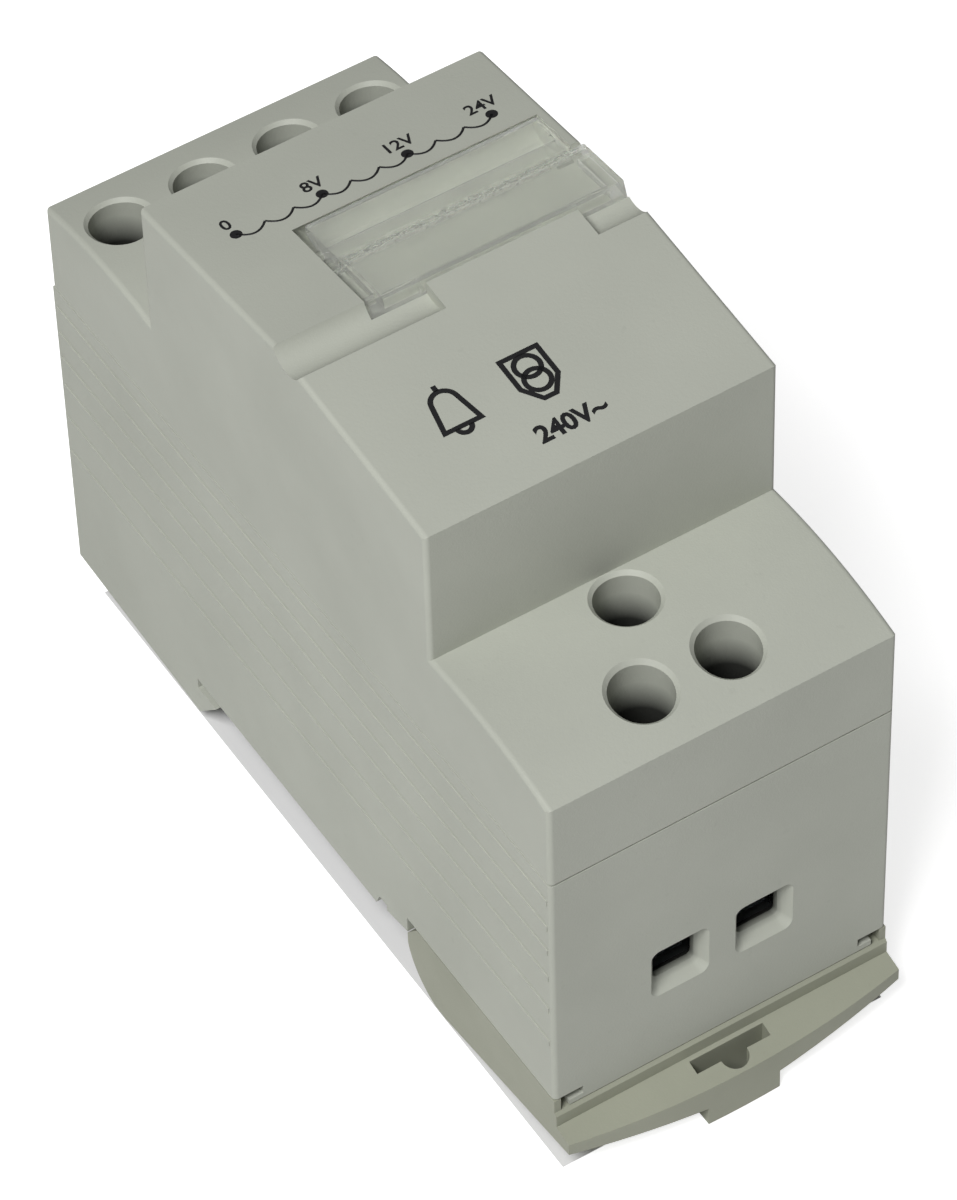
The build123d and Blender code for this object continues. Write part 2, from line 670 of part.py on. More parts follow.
    # Small bevel round the mouth of each well
    mouths = top_cover.edges().filter_by(
        lambda edge: edge.is_closed
        and SHOULDER_END_HEIGHT - WELL_RIM < height_of(edge) < SHOULDER_MID_HEIGHT + WELL_RIM
    )
    chamfer(mouths, WELL_RIM)

save(top_cover.part, "top_cover")

# Rail clip: slider with foot, catch, flanged side walls and an end plate to pull on
clip_plate_top = clip_roof - CLIP_PLAY
clip_plate_under = clip_plate_top - CLIP_PLATE
lip_face = -half_length - CLIP_LIP_PROUD
lip_back = -half_length + CLIP_LIP_THICKNESS
corner_y = -half_length - CLIP_CORNER_REACH
clip_end = -half_length - CLIP_MIDDLE_REACH
end_height = clip_plate_top - (lip_face - clip_end) * CLIP_END_SLOPE
side_inner = half_width - CLIP_SIDE_WALL
foot_end = CLIP_FRONT - CLIP_FOOT_RUN
sole_end = foot_end - CLIP_FOOT_FLAT
under_clip = -CLIP_TAB_BELOW - CUT_MARGIN
catch_top = SEAT_HEIGHT - RAIL_THICKNESS - RAIL_PLAY
catch_tip = rail_near + CATCH_OVERLAP
slot_y = -half_length - DRIVER_SLOT_OUT

with BuildPart() as rail_clip:
    # Body in the side view: round foot, flat sole rising to the end, and upright lip
    with BuildSketch(side()):
        with BuildLine():
            Polyline(
                (foot_end, 0),
                (sole_end, 0),
                (corner_y, CLIP_CORNER_HEIGHT),
                (clip_end, CLIP_CORNER_HEIGHT),
                (clip_end, end_height),
                (lip_face, clip_plate_top),
                (lip_face, CLIP_LIP_TOP - CLIP_LIP_PROUD),
                (lip_face + CLIP_LIP_PROUD, CLIP_LIP_TOP),
                (lip_back, CLIP_LIP_TOP),
                (lip_back, clip_plate_top),
                (CLIP_FRONT, clip_plate_top),
            )
            RadiusArc((CLIP_FRONT, clip_plate_top), (foot_end, 0), CLIP_FOOT_RADIUS)
        make_face()
    extrude(amount=half_width, both=True)

    # Underside hollow between the side walls, behind the foot bar
    with BuildSketch(level(under_clip)):
        with Locations((0, (sole_end + lip_face) / 2)):
            Rectangle(2 * side_inner, sole_end - lip_face)
    extrude(amount=clip_plate_under - under_clip, mode=Mode.SUBTRACT)

    # Side walls with a flange that runs in the housing's groove
    for x_sign in (-1, 1):
        with BuildSketch(side(x_sign * side_inner)):
            with BuildLine():
                Polyline(
                    (CLIP_FRONT, clip_plate_top),
                    (CLIP_FRONT, SEAT_HEIGHT + RELIEF_DEPTH - CLIP_PLAY),
                    (CLIP_FRONT - CLIP_PLATE, CLIP_SIDE_TOP),
                    (CLIP_FLANGE_END, CLIP_SIDE_TOP),
                    (CLIP_FLANGE_END, clip_plate_top),
                    close=True,
                )
            make_face()
        extrude(amount=x_sign * CLIP_SIDE_WALL)
        with BuildSketch(level(CLIP_SIDE_TOP - CLIP_FLANGE_THICKNESS)):
            with Locations(
                (
                    x_sign * (side_inner - CLIP_FLANGE / 2 + WALL / 4),
                    (CLIP_FRONT - CLIP_PLATE + CLIP_FLANGE_END) / 2,
                )
            ):
                Rectangle(CLIP_FLANGE + WALL / 2, CLIP_FRONT - CLIP_PLATE - CLIP_FLANGE_END)
        extrude(amount=CLIP_FLANGE_THICKNESS)
        with BuildSketch(level(clip_plate_top)):
            with Locations(
                (x_sign * (half_width - CLIP_SKIN / 2), (CLIP_FLANGE_END - half_length) / 2)
            ):
                Rectangle(CLIP_SKIN, half_length + CLIP_FLANGE_END)
        extrude(amount=CLIP_SIDE_TOP - clip_plate_top)

    # End plate: deeper towards the middle, with the tab below it
    with BuildSketch(facing_supply(clip_end)):
        with BuildLine():
            Polyline(
                (-half_width, CLIP_CORNER_HEIGHT),
                (-CLIP_TAB_WIDTH / 2, CLIP_TAB_ROOT),
                (-CLIP_TAB_WIDTH / 2, -CLIP_TAB_BELOW),
                (CLIP_TAB_WIDTH / 2, -CLIP_TAB_BELOW),
                (CLIP_TAB_WIDTH / 2, CLIP_TAB_ROOT),
                (half_width, CLIP_CORNER_HEIGHT),
                (half_width, end_height),
                (-half_width, end_height),
                close=True,
            )
        make_face()
    extrude(amount=-(lip_face - clip_end))

    # Plan outline: the end is bowed
    with BuildSketch(level(under_clip)):
        with BuildLine():
            Polyline(
                (half_width, corner_y),
                (half_width, CLIP_FRONT + CUT_MARGIN),
                (-half_width, CLIP_FRONT + CUT_MARGIN),
                (-half_width, corner_y),
            )
            ThreePointArc((-half_width, corner_y), (0, clip_end), (half_width, corner_y))
        make_face()
    extrude(amount=CLIP_SIDE_TOP - under_clip + CUT_MARGIN, mode=Mode.INTERSECT)

    # Catch that reaches under the rail's edge
    with BuildSketch(side()):
        with BuildLine():
            Polyline(
                (foot_end, catch_top),
                (catch_tip, catch_top),
                (catch_tip, catch_top - CATCH_TIP),
                (rail_near, catch_top - CATCH_THICKNESS),
                (foot_end, catch_top - CATCH_THICKNESS),
                close=True,
            )
        make_face()
    extrude(amount=CATCH_WIDTH / 2, both=True)

    # Slot for a screwdriver, with a half-round notch
    with BuildSketch(level(under_clip)):
        with Locations((0, slot_y - DRIVER_SLOT_GAP / 2)):
            Circle(DRIVER_NOTCH_RADIUS)
        with Locations((0, slot_y - DRIVER_SLOT_GAP / 2 + DRIVER_NOTCH_RADIUS / 2)):
            Rectangle(2 * DRIVER_NOTCH_RADIUS, DRIVER_NOTCH_RADIUS, mode=Mode.SUBTRACT)
        with Locations((0, slot_y)):
            Rectangle(DRIVER_SLOT_WIDTH, DRIVER_SLOT_GAP)
    extrude(amount=clip_plate_top - under_clip, mode=Mode.SUBTRACT)

    # Springy arm cut free in the plate
    arm_y = (sole_end + lip_back) / 2
    with BuildSketch(level(under_clip)):
        with Locations((0, arm_y)):
            Rectangle(LATCH_ARM_WIDTH + 2 * LATCH_ARM_GAP, LATCH_ARM_LENGTH + LATCH_ARM_GAP)
        with Locations((0, arm_y + LATCH_ARM_GAP / 2)):
            Rectangle(LATCH_ARM_WIDTH, LATCH_ARM_LENGTH, mode=Mode.SUBTRACT)
    extrude(amount=clip_plate_top - under_clip, mode=Mode.SUBTRACT)

save(rail_clip.part, "rail_clip")

# Clear label flap: thick behind, label pocket in front, two finger tabs and two pins
with BuildPart() as label_flap:
    with BuildSketch(facet_side(FLAP_LEFT)):
        with BuildLine():
            Polyline(
                (FLAP_PLAY / 2, 0),
                (FLAP_LENGTH, 0),
                (FLAP_LENGTH, -FLAP_TOP_SKIN),
                (HINGE_ALONG, -HINGE_DEPTH - HINGE_PIN_RADIUS),
                (FLAP_STEP, -FLAP_REAR_THICKNESS),
                (FLAP_STEP, -FLAP_TOP_SKIN),
                (FLAP_PLAY / 2 + FLAP_WALL, -FLAP_TOP_SKIN),
                (FLAP_PLAY / 2 + FLAP_WALL - FLAP_LEAN, -FLAP_WALL_DROP),
                (FLAP_PLAY / 2 - FLAP_LEAN, -FLAP_WALL_DROP),
                close=True,
            )
        make_face()
    extrude(amount=window_right - FLAP_PLAY - FLAP_LEFT)
    # Front half runs out to the housing's side
    with BuildSketch(facet_side(window_right - FLAP_PLAY)):
        with BuildLine():
            Polyline(
                (FLAP_PLAY / 2, 0),
                (FLAP_STEP, 0),
                (FLAP_STEP, -FLAP_TOP_SKIN),
                (FLAP_STEP - FLAP_TOP_SKIN, -FLAP_TOP_SKIN),
                (FLAP_STEP - FLAP_TOP_SKIN, -FLAP_WALL_DROP),
                (FLAP_PLAY / 2 - FLAP_LEAN, -FLAP_WALL_DROP),
                close=True,
            )
        make_face()
    extrude(amount=HINGE_WALL + FLAP_PLAY)
    # Left flange, set lower than the face
    with BuildSketch(facet_side(WINDOW_LEFT + FLAP_PLAY)):
        with BuildLine():
            Polyline(
                (FLAP_PLAY / 2, -FLAP_TOP_SKIN),
                (HINGE_ALONG - HINGE_DEPTH, -FLAP_TOP_SKIN),
                (HINGE_ALONG - HINGE_DEPTH, -FLAP_WALL_DROP),
                (FLAP_PLAY / 2 - FLAP_LEAN, -FLAP_WALL_DROP),
                close=True,
            )
        make_face()
    extrude(amount=FLAP_LEFT - WINDOW_LEFT - FLAP_PLAY + FLAP_WALL)
    # Finger tabs stand a little further forward
    tabs = (
        (WINDOW_LEFT + FLAP_PLAY, TAB_LEFT_END - FLAP_PLAY),
        (TAB_RIGHT_START + FLAP_PLAY, half_width),
    )
    for start_x, end_x in tabs:
        with BuildSketch(facet_side(start_x)):
            with BuildLine():
                Polyline(
                    (FLAP_WALL, 0),
                    (0, 0),
                    (-FLAP_LEAN, -FLAP_WALL_DROP),
                    (FLAP_WALL, -FLAP_WALL_DROP),
                    close=True,
                )
            make_face()
        extrude(amount=end_x - start_x)
    # Hinge pins
    with BuildSketch(facet_side(WINDOW_LEFT - HINGE_PIN_SEAT)):
        with Locations(trough_centre):
            Circle(HINGE_PIN_RADIUS)
    extrude(amount=window_right - WINDOW_LEFT + 2 * HINGE_PIN_SEAT)

save(label_flap.part, "label_flap")

# Cover screw in its well
with BuildPart() as cover_screw:
    with BuildSketch(level(COVER_SCREW_SEAT)):
        with Locations((0, cover_screw_y)):
            Circle(COVER_SCREW_HEAD_RADIUS)
    extrude(amount=COVER_SCREW_HEAD)
    fillet(cover_screw.edges().sort_by(Axis.Z)[-1], COVER_SCREW_ROUND)
    with BuildSketch(level(COVER_SCREW_SEAT)):
        with Locations((0, cover_screw_y)):
            Circle(COVER_SCREW_RADIUS)
    extrude(amount=-COVER_SCREW_LENGTH)
    chamfer(cover_screw.edges().sort_by(Axis.Z)[0], COVER_SCREW_POINT)
    with BuildSketch(level(COVER_SCREW_SEAT + COVER_SCREW_HEAD)):
        with Locations((0, cover_screw_y)):
            Rectangle(2 * COVER_SCREW_RADIUS, SCREW_SLOT)
            Rectangle(SCREW_SLOT, 2 * COVER_SCREW_RADIUS)
    extrude(amount=-SCREW_SLOT_DEPTH, mode=Mode.SUBTRACT)

save(cover_screw.part, "cover_screw")

# Terminals: screw, rising cage and contact bar for each pole
for sign, poles, end_name in ends:
    for number, x in enumerate(pole_places(poles), start=1):
        axis_place = (x, sign * terminal_y)
        with BuildPart() as terminal_screw:
            with BuildSketch(level(head_seat)):
                with Locations(axis_place):
                    Circle(SCREW_HEAD_RADIUS)
            extrude(amount=SCREW_HEAD)
            with BuildSketch(level(bar_top + CAGE_PLAY / 2)):
                with Locations(axis_place):
                    Circle(SCREW_RADIUS)
            extrude(amount=head_seat - bar_top - CAGE_PLAY / 2)
            chamfer(terminal_screw.edges().sort_by(Axis.Z)[-1], SCREW_BEVEL)
            with BuildSketch(level(head_seat + SCREW_HEAD)):
                with Locations(axis_place):
                    Rectangle(2 * SCREW_HEAD_RADIUS, SCREW_SLOT)
                    Rectangle(SCREW_SLOT, SCREW_HEAD_RADIUS)
            extrude(amount=-SCREW_SLOT_DEPTH, mode=Mode.SUBTRACT)
        save(terminal_screw.part, f"{end_name}_screw_{number}")

        with BuildPart() as clamp_cage:
            with BuildSketch(facing_supply(sign * terminal_y)):
                with Locations((x, (cage_bottom + cage_top) / 2)):
                    RectangleRounded(CAGE_WIDTH, cage_top - cage_bottom, CAGE_ROUND)
                with Locations((x, (cage_bottom + CAGE_FLOOR + cage_top - CAGE_NUT) / 2)):
                    Rectangle(
                        CAGE_WIDTH - 2 * CAGE_WALL,
                        cage_top - CAGE_NUT - cage_bottom - CAGE_FLOOR,
                        mode=Mode.SUBTRACT,
                    )
            extrude(amount=CAGE_LENGTH / 2, both=True)
            with BuildSketch(level(cage_top)):
                with Locations(axis_place):
                    Circle(SCREW_RADIUS + SCREW_PLAY)
            extrude(amount=-CAGE_NUT, mode=Mode.SUBTRACT)
            # Grip grooves across the cage's floor
            with BuildSketch(side(x)):
                with Locations((sign * terminal_y, cage_bottom + CAGE_FLOOR)):
                    with GridLocations(GRIP_PITCH, CUT_MARGIN, 3, 1):
                        Rectangle(GRIP_GROOVE, GRIP_GROOVE)
            extrude(amount=CAGE_WIDTH / 2 - CAGE_WALL, both=True, mode=Mode.SUBTRACT)
        save(clamp_cage.part, f"{end_name}_cage_{number}")

        tag_face = cross_y - CROSS_WALL - TAG_OFFSET
        with BuildPart() as contact_bar:
            with BuildSketch(level(BAR_BOTTOM)):
                with Locations((x, sign * (inner_end + tag_face - TAG_THICKNESS) / 2)):
                    Rectangle(BAR_WIDTH, inner_end - tag_face + TAG_THICKNESS)
                with Locations((x, sign * (inner_end + BAR_END_SEAT / 2 - CAGE_PLAY / 2))):
                    Rectangle(BAR_END_WIDTH - CAGE_PLAY, BAR_END_SEAT + CAGE_PLAY)
            extrude(amount=BAR_THICKNESS)
            with BuildSketch(level(BAR_BOTTOM)):
                with Locations((x, sign * (tag_face - TAG_THICKNESS / 2))):
                    Rectangle(TAG_WIDTH, TAG_THICKNESS)
            extrude(amount=TAG_TOP - BAR_BOTTOM)
        save(contact_bar.part, f"{end_name}_contact_{number}")

# Laminated core: E below, I on top
hole_places = [(-core_half + CORE_LEG / 2, 0), (core_half - CORE_LEG / 2, 0)]
with BuildPart() as e_laminations:
    with BuildSketch(side()):
        with Locations((0, (CORE_BASE + window_top) / 2)):
            Rectangle(LAMINATION_LENGTH, window_top - CORE_BASE)
        for sign in (-1, 1):
            with Locations((sign * core_half / 2, (window_bottom + window_top) / 2)):
                Rectangle(core_half - 2 * CORE_LEG, window_top - window_bottom, mode=Mode.SUBTRACT)
            with Locations((sign * (core_half - CORE_LEG / 2), CORE_BASE + CORE_LEG / 2)):
                Circle(CORE_HOLE_RADIUS, mode=Mode.SUBTRACT)
    extrude(amount=stack / 2, both=True)
save(e_laminations.part, "e_laminations")

with BuildPart() as i_laminations:
    with BuildSketch(side()):
        with Locations((0, core_top - CORE_LEG / 2)):
            Rectangle(LAMINATION_LENGTH, CORE_LEG)
        for sign in (-1, 1):
            with Locations((sign * (core_half - CORE_LEG / 2), core_top - CORE_LEG / 2)):
                Circle(CORE_HOLE_RADIUS, mode=Mode.SUBTRACT)
    extrude(amount=stack / 2, both=True)
save(i_laminations.part, "i_laminations")

# Two-chamber bobbin on the middle leg
bore_x = stack / 2 + CORE_PLAY
bore_y = CORE_LEG + CORE_PLAY
flange_x = stack / 2 + BOBBIN_SIDE_REACH
flange_y = core_half - CORE_LEG - CORE_PLAY
bobbin_bottom = window_bottom
bobbin_top = window_top
divider = bobbin_bottom + PRIMARY_SHARE * (bobbin_top - bobbin_bottom)
flange_heights = (bobbin_bottom, divider, bobbin_top - BOBBIN_WALL)

with BuildPart() as bobbin:
    with BuildSketch(level(bobbin_bottom)):
        Rectangle(2 * (bore_x + BOBBIN_WALL), 2 * (bore_y + BOBBIN_WALL))
    extrude(amount=bobbin_top - bobbin_bottom)
    for height in flange_heights:
        with BuildSketch(level(height)):
            RectangleRounded(2 * flange_x, 2 * flange_y, BOBBIN_WALL)
        extrude(amount=BOBBIN_WALL)
    with BuildSketch(level(bobbin_bottom)):
        Rectangle(2 * bore_x, 2 * bore_y)
    extrude(amount=bobbin_top - bobbin_bottom, mode=Mode.SUBTRACT)
save(bobbin.part, "bobbin")

# Windings with their tape, one in each chamber
chambers = (
    ("primary", bobbin_bottom + BOBBIN_WALL, divider),
    ("secondary", divider + BOBBIN_WALL, bobbin_top - BOBBIN_WALL),
)
for coil_name, low, high in chambers:
    coil_x = flange_x - COIL_MARGIN
    coil_y = flange_y - COIL_MARGIN
    with BuildPart() as winding:
        with BuildSketch(level(low)):
            RectangleRounded(2 * coil_x, 2 * coil_y, 2 * BOBBIN_WALL)
            Rectangle(2 * (bore_x + BOBBIN_WALL), 2 * (bore_y + BOBBIN_WALL), mode=Mode.SUBTRACT)
        extrude(amount=high - low)
    save(winding.part, f"{coil_name}_winding")
    with BuildPart() as tape:
        with BuildSketch(level(low)):
            RectangleRounded(2 * (coil_x + TAPE), 2 * (coil_y + TAPE), 2 * BOBBIN_WALL + TAPE)
            RectangleRounded(2 * coil_x, 2 * coil_y, 2 * BOBBIN_WALL, mode=Mode.SUBTRACT)
        extrude(amount=high - low)
    save(tape.part, f"{coil_name}_tape")

# Thermistor on its ledge against the cross wall
ptc_face = -(cross_y - CROSS_WALL)
with BuildPart() as ptc_thermistor:
    with BuildSketch(facing_supply(ptc_face)):
        with Locations((ptc_x, PTC_HEIGHT)):
            Circle(PTC_RADIUS)
    extrude(amount=-PTC_THICKNESS)
    fillet(ptc_thermistor.edges().filter_by(GeomType.CIRCLE), PTC_ROUND)
save(ptc_thermistor.part, "ptc_thermistor")


def wire(points, radius, bend, name):
    """Round wire through the given points, with an arc at each corner."""
    with BuildPart() as lead:
        with BuildLine() as route:
            FilletPolyline(*points, radius=bend)
        with BuildSketch(Plane(origin=route.wire() @ 0, z_dir=route.wire() % 0)):
            Circle(radius)
        sweep()
    save(lead.part, name)


# Leads from the bobbin's top flange to the solder tags
lead_height = bobbin_top + LEAD_RADIUS
tag_inner = tag_face - TAG_THICKNESS
tag_height = (BAR_BOTTOM + BAR_THICKNESS + TAG_TOP) / 2
lead_turn = core_half + 2 * LEAD_RADIUS + CRADLE_RIB
lead_drop = tag_inner - 2 * LEAD_BEND
outer_x = flange_x - 2 * LEAD_RADIUS
inner_x = outer_x - 4 * LEAD_RADIUS


def place(x, y, height):
    """Point counted from the housing's middle and from the hook's lowest edge."""
    return (x, mid_y + y, CLIP_TAB_BELOW + height)


def tag_lead(start_x, pole_x, sign):
    """Corner points of a lead that drops from the flange to a tag."""
    return [
        place(start_x, sign * LEAD_START, lead_height),
        place(start_x, sign * lead_turn, lead_height),
        place(pole_x, sign * lead_drop, tag_height),
        place(pole_x, sign * tag_inner, tag_height),
    ]


output_starts = (-outer_x, -inner_x, inner_x, outer_x)
for number, (start_x, pole_x) in enumerate(zip(output_starts, pole_places(OUTPUT_POLES)), start=1):
    wire(tag_lead(start_x, pole_x, 1), LEAD_RADIUS, LEAD_BEND, f"secondary_lead_{number}")
supply_x = pole_places(SUPPLY_POLES)
wire(tag_lead(-inner_x, supply_x[0], -1), LEAD_RADIUS, LEAD_BEND, "primary_lead_1")
ptc_back = ptc_face + PTC_THICKNESS
lead_2_x = inner_x + LEAD_RADIUS
wire(
    [
        place(lead_2_x, -LEAD_START, lead_height),
        place(lead_2_x, -lead_turn, lead_height),
        place(lead_2_x, ptc_back + 2 * LEAD_BEND, PTC_HEIGHT + PTC_LEAD_SPREAD),
        place(lead_2_x, ptc_back, PTC_HEIGHT + PTC_LEAD_SPREAD),
    ],
    LEAD_RADIUS,
    LEAD_BEND,
    "primary_lead_2",
)
ptc_lead_x = ptc_x - PTC_RADIUS / 2
wire(
    [
        place(ptc_lead_x, ptc_back, PTC_HEIGHT - PTC_LEAD_SPREAD),
        place(ptc_lead_x, -lead_drop, PTC_HEIGHT - PTC_LEAD_SPREAD),
        place(supply_x[1], -lead_drop, tag_height),
        place(supply_x[1], -tag_inner, tag_height),
    ],
    PTC_LEAD_RADIUS,
    LEAD_BEND / 2,
    "ptc_lead",
)
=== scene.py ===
import logging
import math
from dataclasses import dataclass, field
from enum import Enum
from typing import Iterable, Sequence

import bmesh
import bpy
from mathutils import Matrix, Vector


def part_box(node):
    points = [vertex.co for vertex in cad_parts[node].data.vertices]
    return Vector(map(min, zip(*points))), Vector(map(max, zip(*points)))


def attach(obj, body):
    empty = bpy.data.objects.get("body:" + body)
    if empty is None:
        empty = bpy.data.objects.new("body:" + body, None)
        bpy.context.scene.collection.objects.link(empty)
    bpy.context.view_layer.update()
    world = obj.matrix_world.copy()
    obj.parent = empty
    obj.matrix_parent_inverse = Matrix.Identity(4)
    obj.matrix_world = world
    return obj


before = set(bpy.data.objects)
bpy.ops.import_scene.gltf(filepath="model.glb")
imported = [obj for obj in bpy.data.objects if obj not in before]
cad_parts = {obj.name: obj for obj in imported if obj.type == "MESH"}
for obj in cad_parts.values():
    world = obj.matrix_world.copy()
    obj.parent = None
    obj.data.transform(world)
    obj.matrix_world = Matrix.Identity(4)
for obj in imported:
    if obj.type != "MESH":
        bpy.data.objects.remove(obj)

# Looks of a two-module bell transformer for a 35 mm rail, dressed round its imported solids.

log = logging.getLogger("transformer")
MM = 0.001


class Facet(Enum):
    """The two sloping faces of the nose."""

    NEAR = "near"
    FAR = "far"


class End(Enum):
    """The two rows of terminals."""

    SUPPLY = "supply"
    OUTPUT = "output"


class Shade(Enum):
    """Colours of the mouldings, as linear values."""

    HOUSING = (0.446, 0.462, 0.404)
    CLIP = (0.33, 0.34, 0.268)


class TreeWriter:
    """Puts nodes and links into one node tree."""

    def __init__(self, tree: bpy.types.NodeTree) -> None:
        """Keep the tree that is written to.

        Args:
            tree: shader or geometry node tree.
        """
        self.tree = tree

    def add(self, kind: str, values: dict | None = None, **settings: object) -> bpy.types.Node:
        """Add one node.

        Args:
            kind: the node's Blender type name.
            values: values of input sockets, by name or index.
            settings: properties of the node itself.

        Returns:
            The new node.
        """
        node = self.tree.nodes.new(kind)
        for name, value in settings.items():
            setattr(node, name, value)
        for name, value in (values or {}).items():
            node.inputs[name].default_value = value
        return node

    def link(self, source: bpy.types.NodeSocket, target: bpy.types.NodeSocket) -> None:
        """Join an output to an input.

        Args:
            source: the output.
            target: the input.
        """
        self.tree.links.new(source, target)

    def wire(self, *joins: tuple[bpy.types.Node, str, bpy.types.Node, str]) -> None:
        """Join several named outputs to named inputs, in order.

        Args:
            joins: for each link the source node, its output, the target node and its input.
        """
        for source, output, target, entry in joins:
            self.link(source.outputs[output], target.inputs[entry])

    def feed(self, item: object, target: bpy.types.NodeSocket) -> None:
        """Link a socket to an input, or set a plain value there.

        Args:
            item: an output socket or a value.
            target: the input.
        """
        if isinstance(item, bpy.types.NodeSocket):
            self.link(item, target)
        else:
            target.default_value = item

    def math(self, operation: str, first: object, second: object = 0.0) -> bpy.types.NodeSocket:
        """Add a math node.

        Args:
            operation: the node's operation.
            first: a socket or a number.
            second: a socket or a number.

        Returns:
            The node's output socket.
        """
        node = self.add("ShaderNodeMath", operation=operation)
        self.feed(first, node.inputs[0])
        self.feed(second, node.inputs[1])
        return node.outputs[0]

    def remap(
        self,
        value: bpy.types.NodeSocket,
        limits: tuple[float, float] = (0.0, 1.0),
        results: tuple[float, float] = (0.0, 1.0),
    ) -> bpy.types.NodeSocket:
        """Map a value between two limits onto another span, without going past its ends.

        Args:
            value: the value.
            limits: where the span begins and ends.
            results: what those two limits become.

        Returns:
            The mapped value.
        """
        node = self.add(
            "ShaderNodeMapRange",
            {
                "From Min": limits[0],
                "From Max": limits[1],
                "To Min": results[0],
                "To Max": results[1],
            },
        )
        self.link(value, node.inputs["Value"])
        return node.outputs["Result"]

    def blend(self, mask: object, first: object, second: object) -> bpy.types.NodeSocket:
        """Mix two colours.

        Args:
            mask: 0 for the first colour and 1 for the second.
            first: a socket or a colour.
            second: a socket or a colour.

        Returns:
            The mixed colour.
        """
        node = self.add("ShaderNodeMix", data_type="RGBA")
        self.feed(first, node.inputs["A"])
        self.feed(second, node.inputs["B"])
        self.feed(mask, node.inputs["Factor"])
        return node.outputs["Result"]


def new_group(name: str, inputs: dict[str, tuple[str, float]], outputs: dict[str, str]) -> tuple:
    """Start a shader node group.

    Args:
        name: name of the group.
        inputs: socket type and default value of each input, by name.
        outputs: socket type of each output, by name.

    Returns:
        The group, its writer, its input node and its output node.
    """
    group = bpy.data.node_groups.new(name, "ShaderNodeTree")
    for label, (kind, value) in inputs.items():
        socket = group.interface.new_socket(name=label, in_out="INPUT", socket_type=kind)
        if kind == "NodeSocketFloat":
            socket.default_value = value
    for label, kind in outputs.items():
        group.interface.new_socket(name=label, in_out="OUTPUT", socket_type=kind)
    writer = TreeWriter(group)
    return group, writer, writer.add("NodeGroupInput"), writer.add("NodeGroupOutput")


def mould_grain_group() -> bpy.types.NodeTree:
    """Make the group for the eroded grain, clouding and specks of moulded plastic.

    Returns:
        Group with Height, Cloud and Specks outputs.
    """
    grain_share, pit_share, pits_to_grain = 0.7, 0.4, 0.55
    speck_limits = (0.735, 0.775)
    group, write, start, end = new_group(
        "mould_grain",
        {
            "Vector": ("NodeSocketVector", 0.0),
            "Grain Scale": ("NodeSocketFloat", 5200.0),
            "Cloud Scale": ("NodeSocketFloat", 70.0),
            "Speck Scale": ("NodeSocketFloat", 900.0),
        },
        {"Height": "NodeSocketFloat", "Cloud": "NodeSocketFloat", "Specks": "NodeSocketFloat"},
    )
    grain = write.add("ShaderNodeTexNoise", {"Detail": 3.0, "Roughness": 0.62})
    pits = write.add("ShaderNodeTexVoronoi", feature="SMOOTH_F1")
    cloud = write.add("ShaderNodeTexNoise", {"Detail": 4.0, "Roughness": 0.5})
    speck = write.add("ShaderNodeTexNoise", {"Detail": 1.0})
    for node in (grain, pits, cloud, speck):
        write.wire((start, "Vector", node, "Vector"))
    for scale, node in (("Grain Scale", grain), ("Cloud Scale", cloud), ("Speck Scale", speck)):
        write.wire((start, scale, node, "Scale"))
    pit_scale = write.math("MULTIPLY", start.outputs["Grain Scale"], pits_to_grain)
    write.link(pit_scale, pits.inputs["Scale"])
    height = write.math(
        "ADD",
        write.math("MULTIPLY", grain.outputs["Fac"], grain_share),
        write.math("MULTIPLY", pits.outputs["Distance"], pit_share),
    )
    write.link(height, end.inputs["Height"])
    write.wire((cloud, "Fac", end, "Cloud"))
    write.link(write.remap(speck.outputs["Fac"], speck_limits), end.inputs["Specks"])
    return group


def brushed_group() -> bpy.types.NodeTree:
    """Make the group for the fine lines and dulled patches of plated or rolled metal.

    Returns:
        Group with Height and Patches outputs.
    """
    group, write, start, end = new_group(
        "metal_lines",
        {
            "Vector": ("NodeSocketVector", 0.0),
            "Line Scale": ("NodeSocketFloat", 3000.0),
            "Stretch": ("NodeSocketFloat", 0.06),
            "Patch Scale": ("NodeSocketFloat", 350.0),
        },
        {"Height": "NodeSocketFloat", "Patches": "NodeSocketFloat"},
    )
    split = write.add("ShaderNodeSeparateXYZ")
    pulled = write.add("ShaderNodeCombineXYZ")
    lines = write.add("ShaderNodeTexNoise", {"Detail": 2.0})
    patches = write.add("ShaderNodeTexNoise", {"Detail": 5.0, "Roughness": 0.6})
    write.wire(
        (start, "Vector", split, "Vector"),
        (split, "X", pulled, "X"),
        (split, "Z", pulled, "Z"),
        (pulled, "Vector", lines, "Vector"),
        (start, "Line Scale", lines, "Scale"),
        (start, "Vector", patches, "Vector"),
        (start, "Patch Scale", patches, "Scale"),
        (lines, "Fac", end, "Height"),
        (patches, "Fac", end, "Patches"),
    )
    drawn = write.math("MULTIPLY", split.outputs["Y"], start.outputs["Stretch"])
    write.link(drawn, pulled.inputs["Y"])
    return group


class Workshop:
    """Holds the shared shader groups, each made once."""

    def __init__(self) -> None:
        """Make the groups."""
        self.grain = mould_grain_group()
        self.lines = brushed_group()


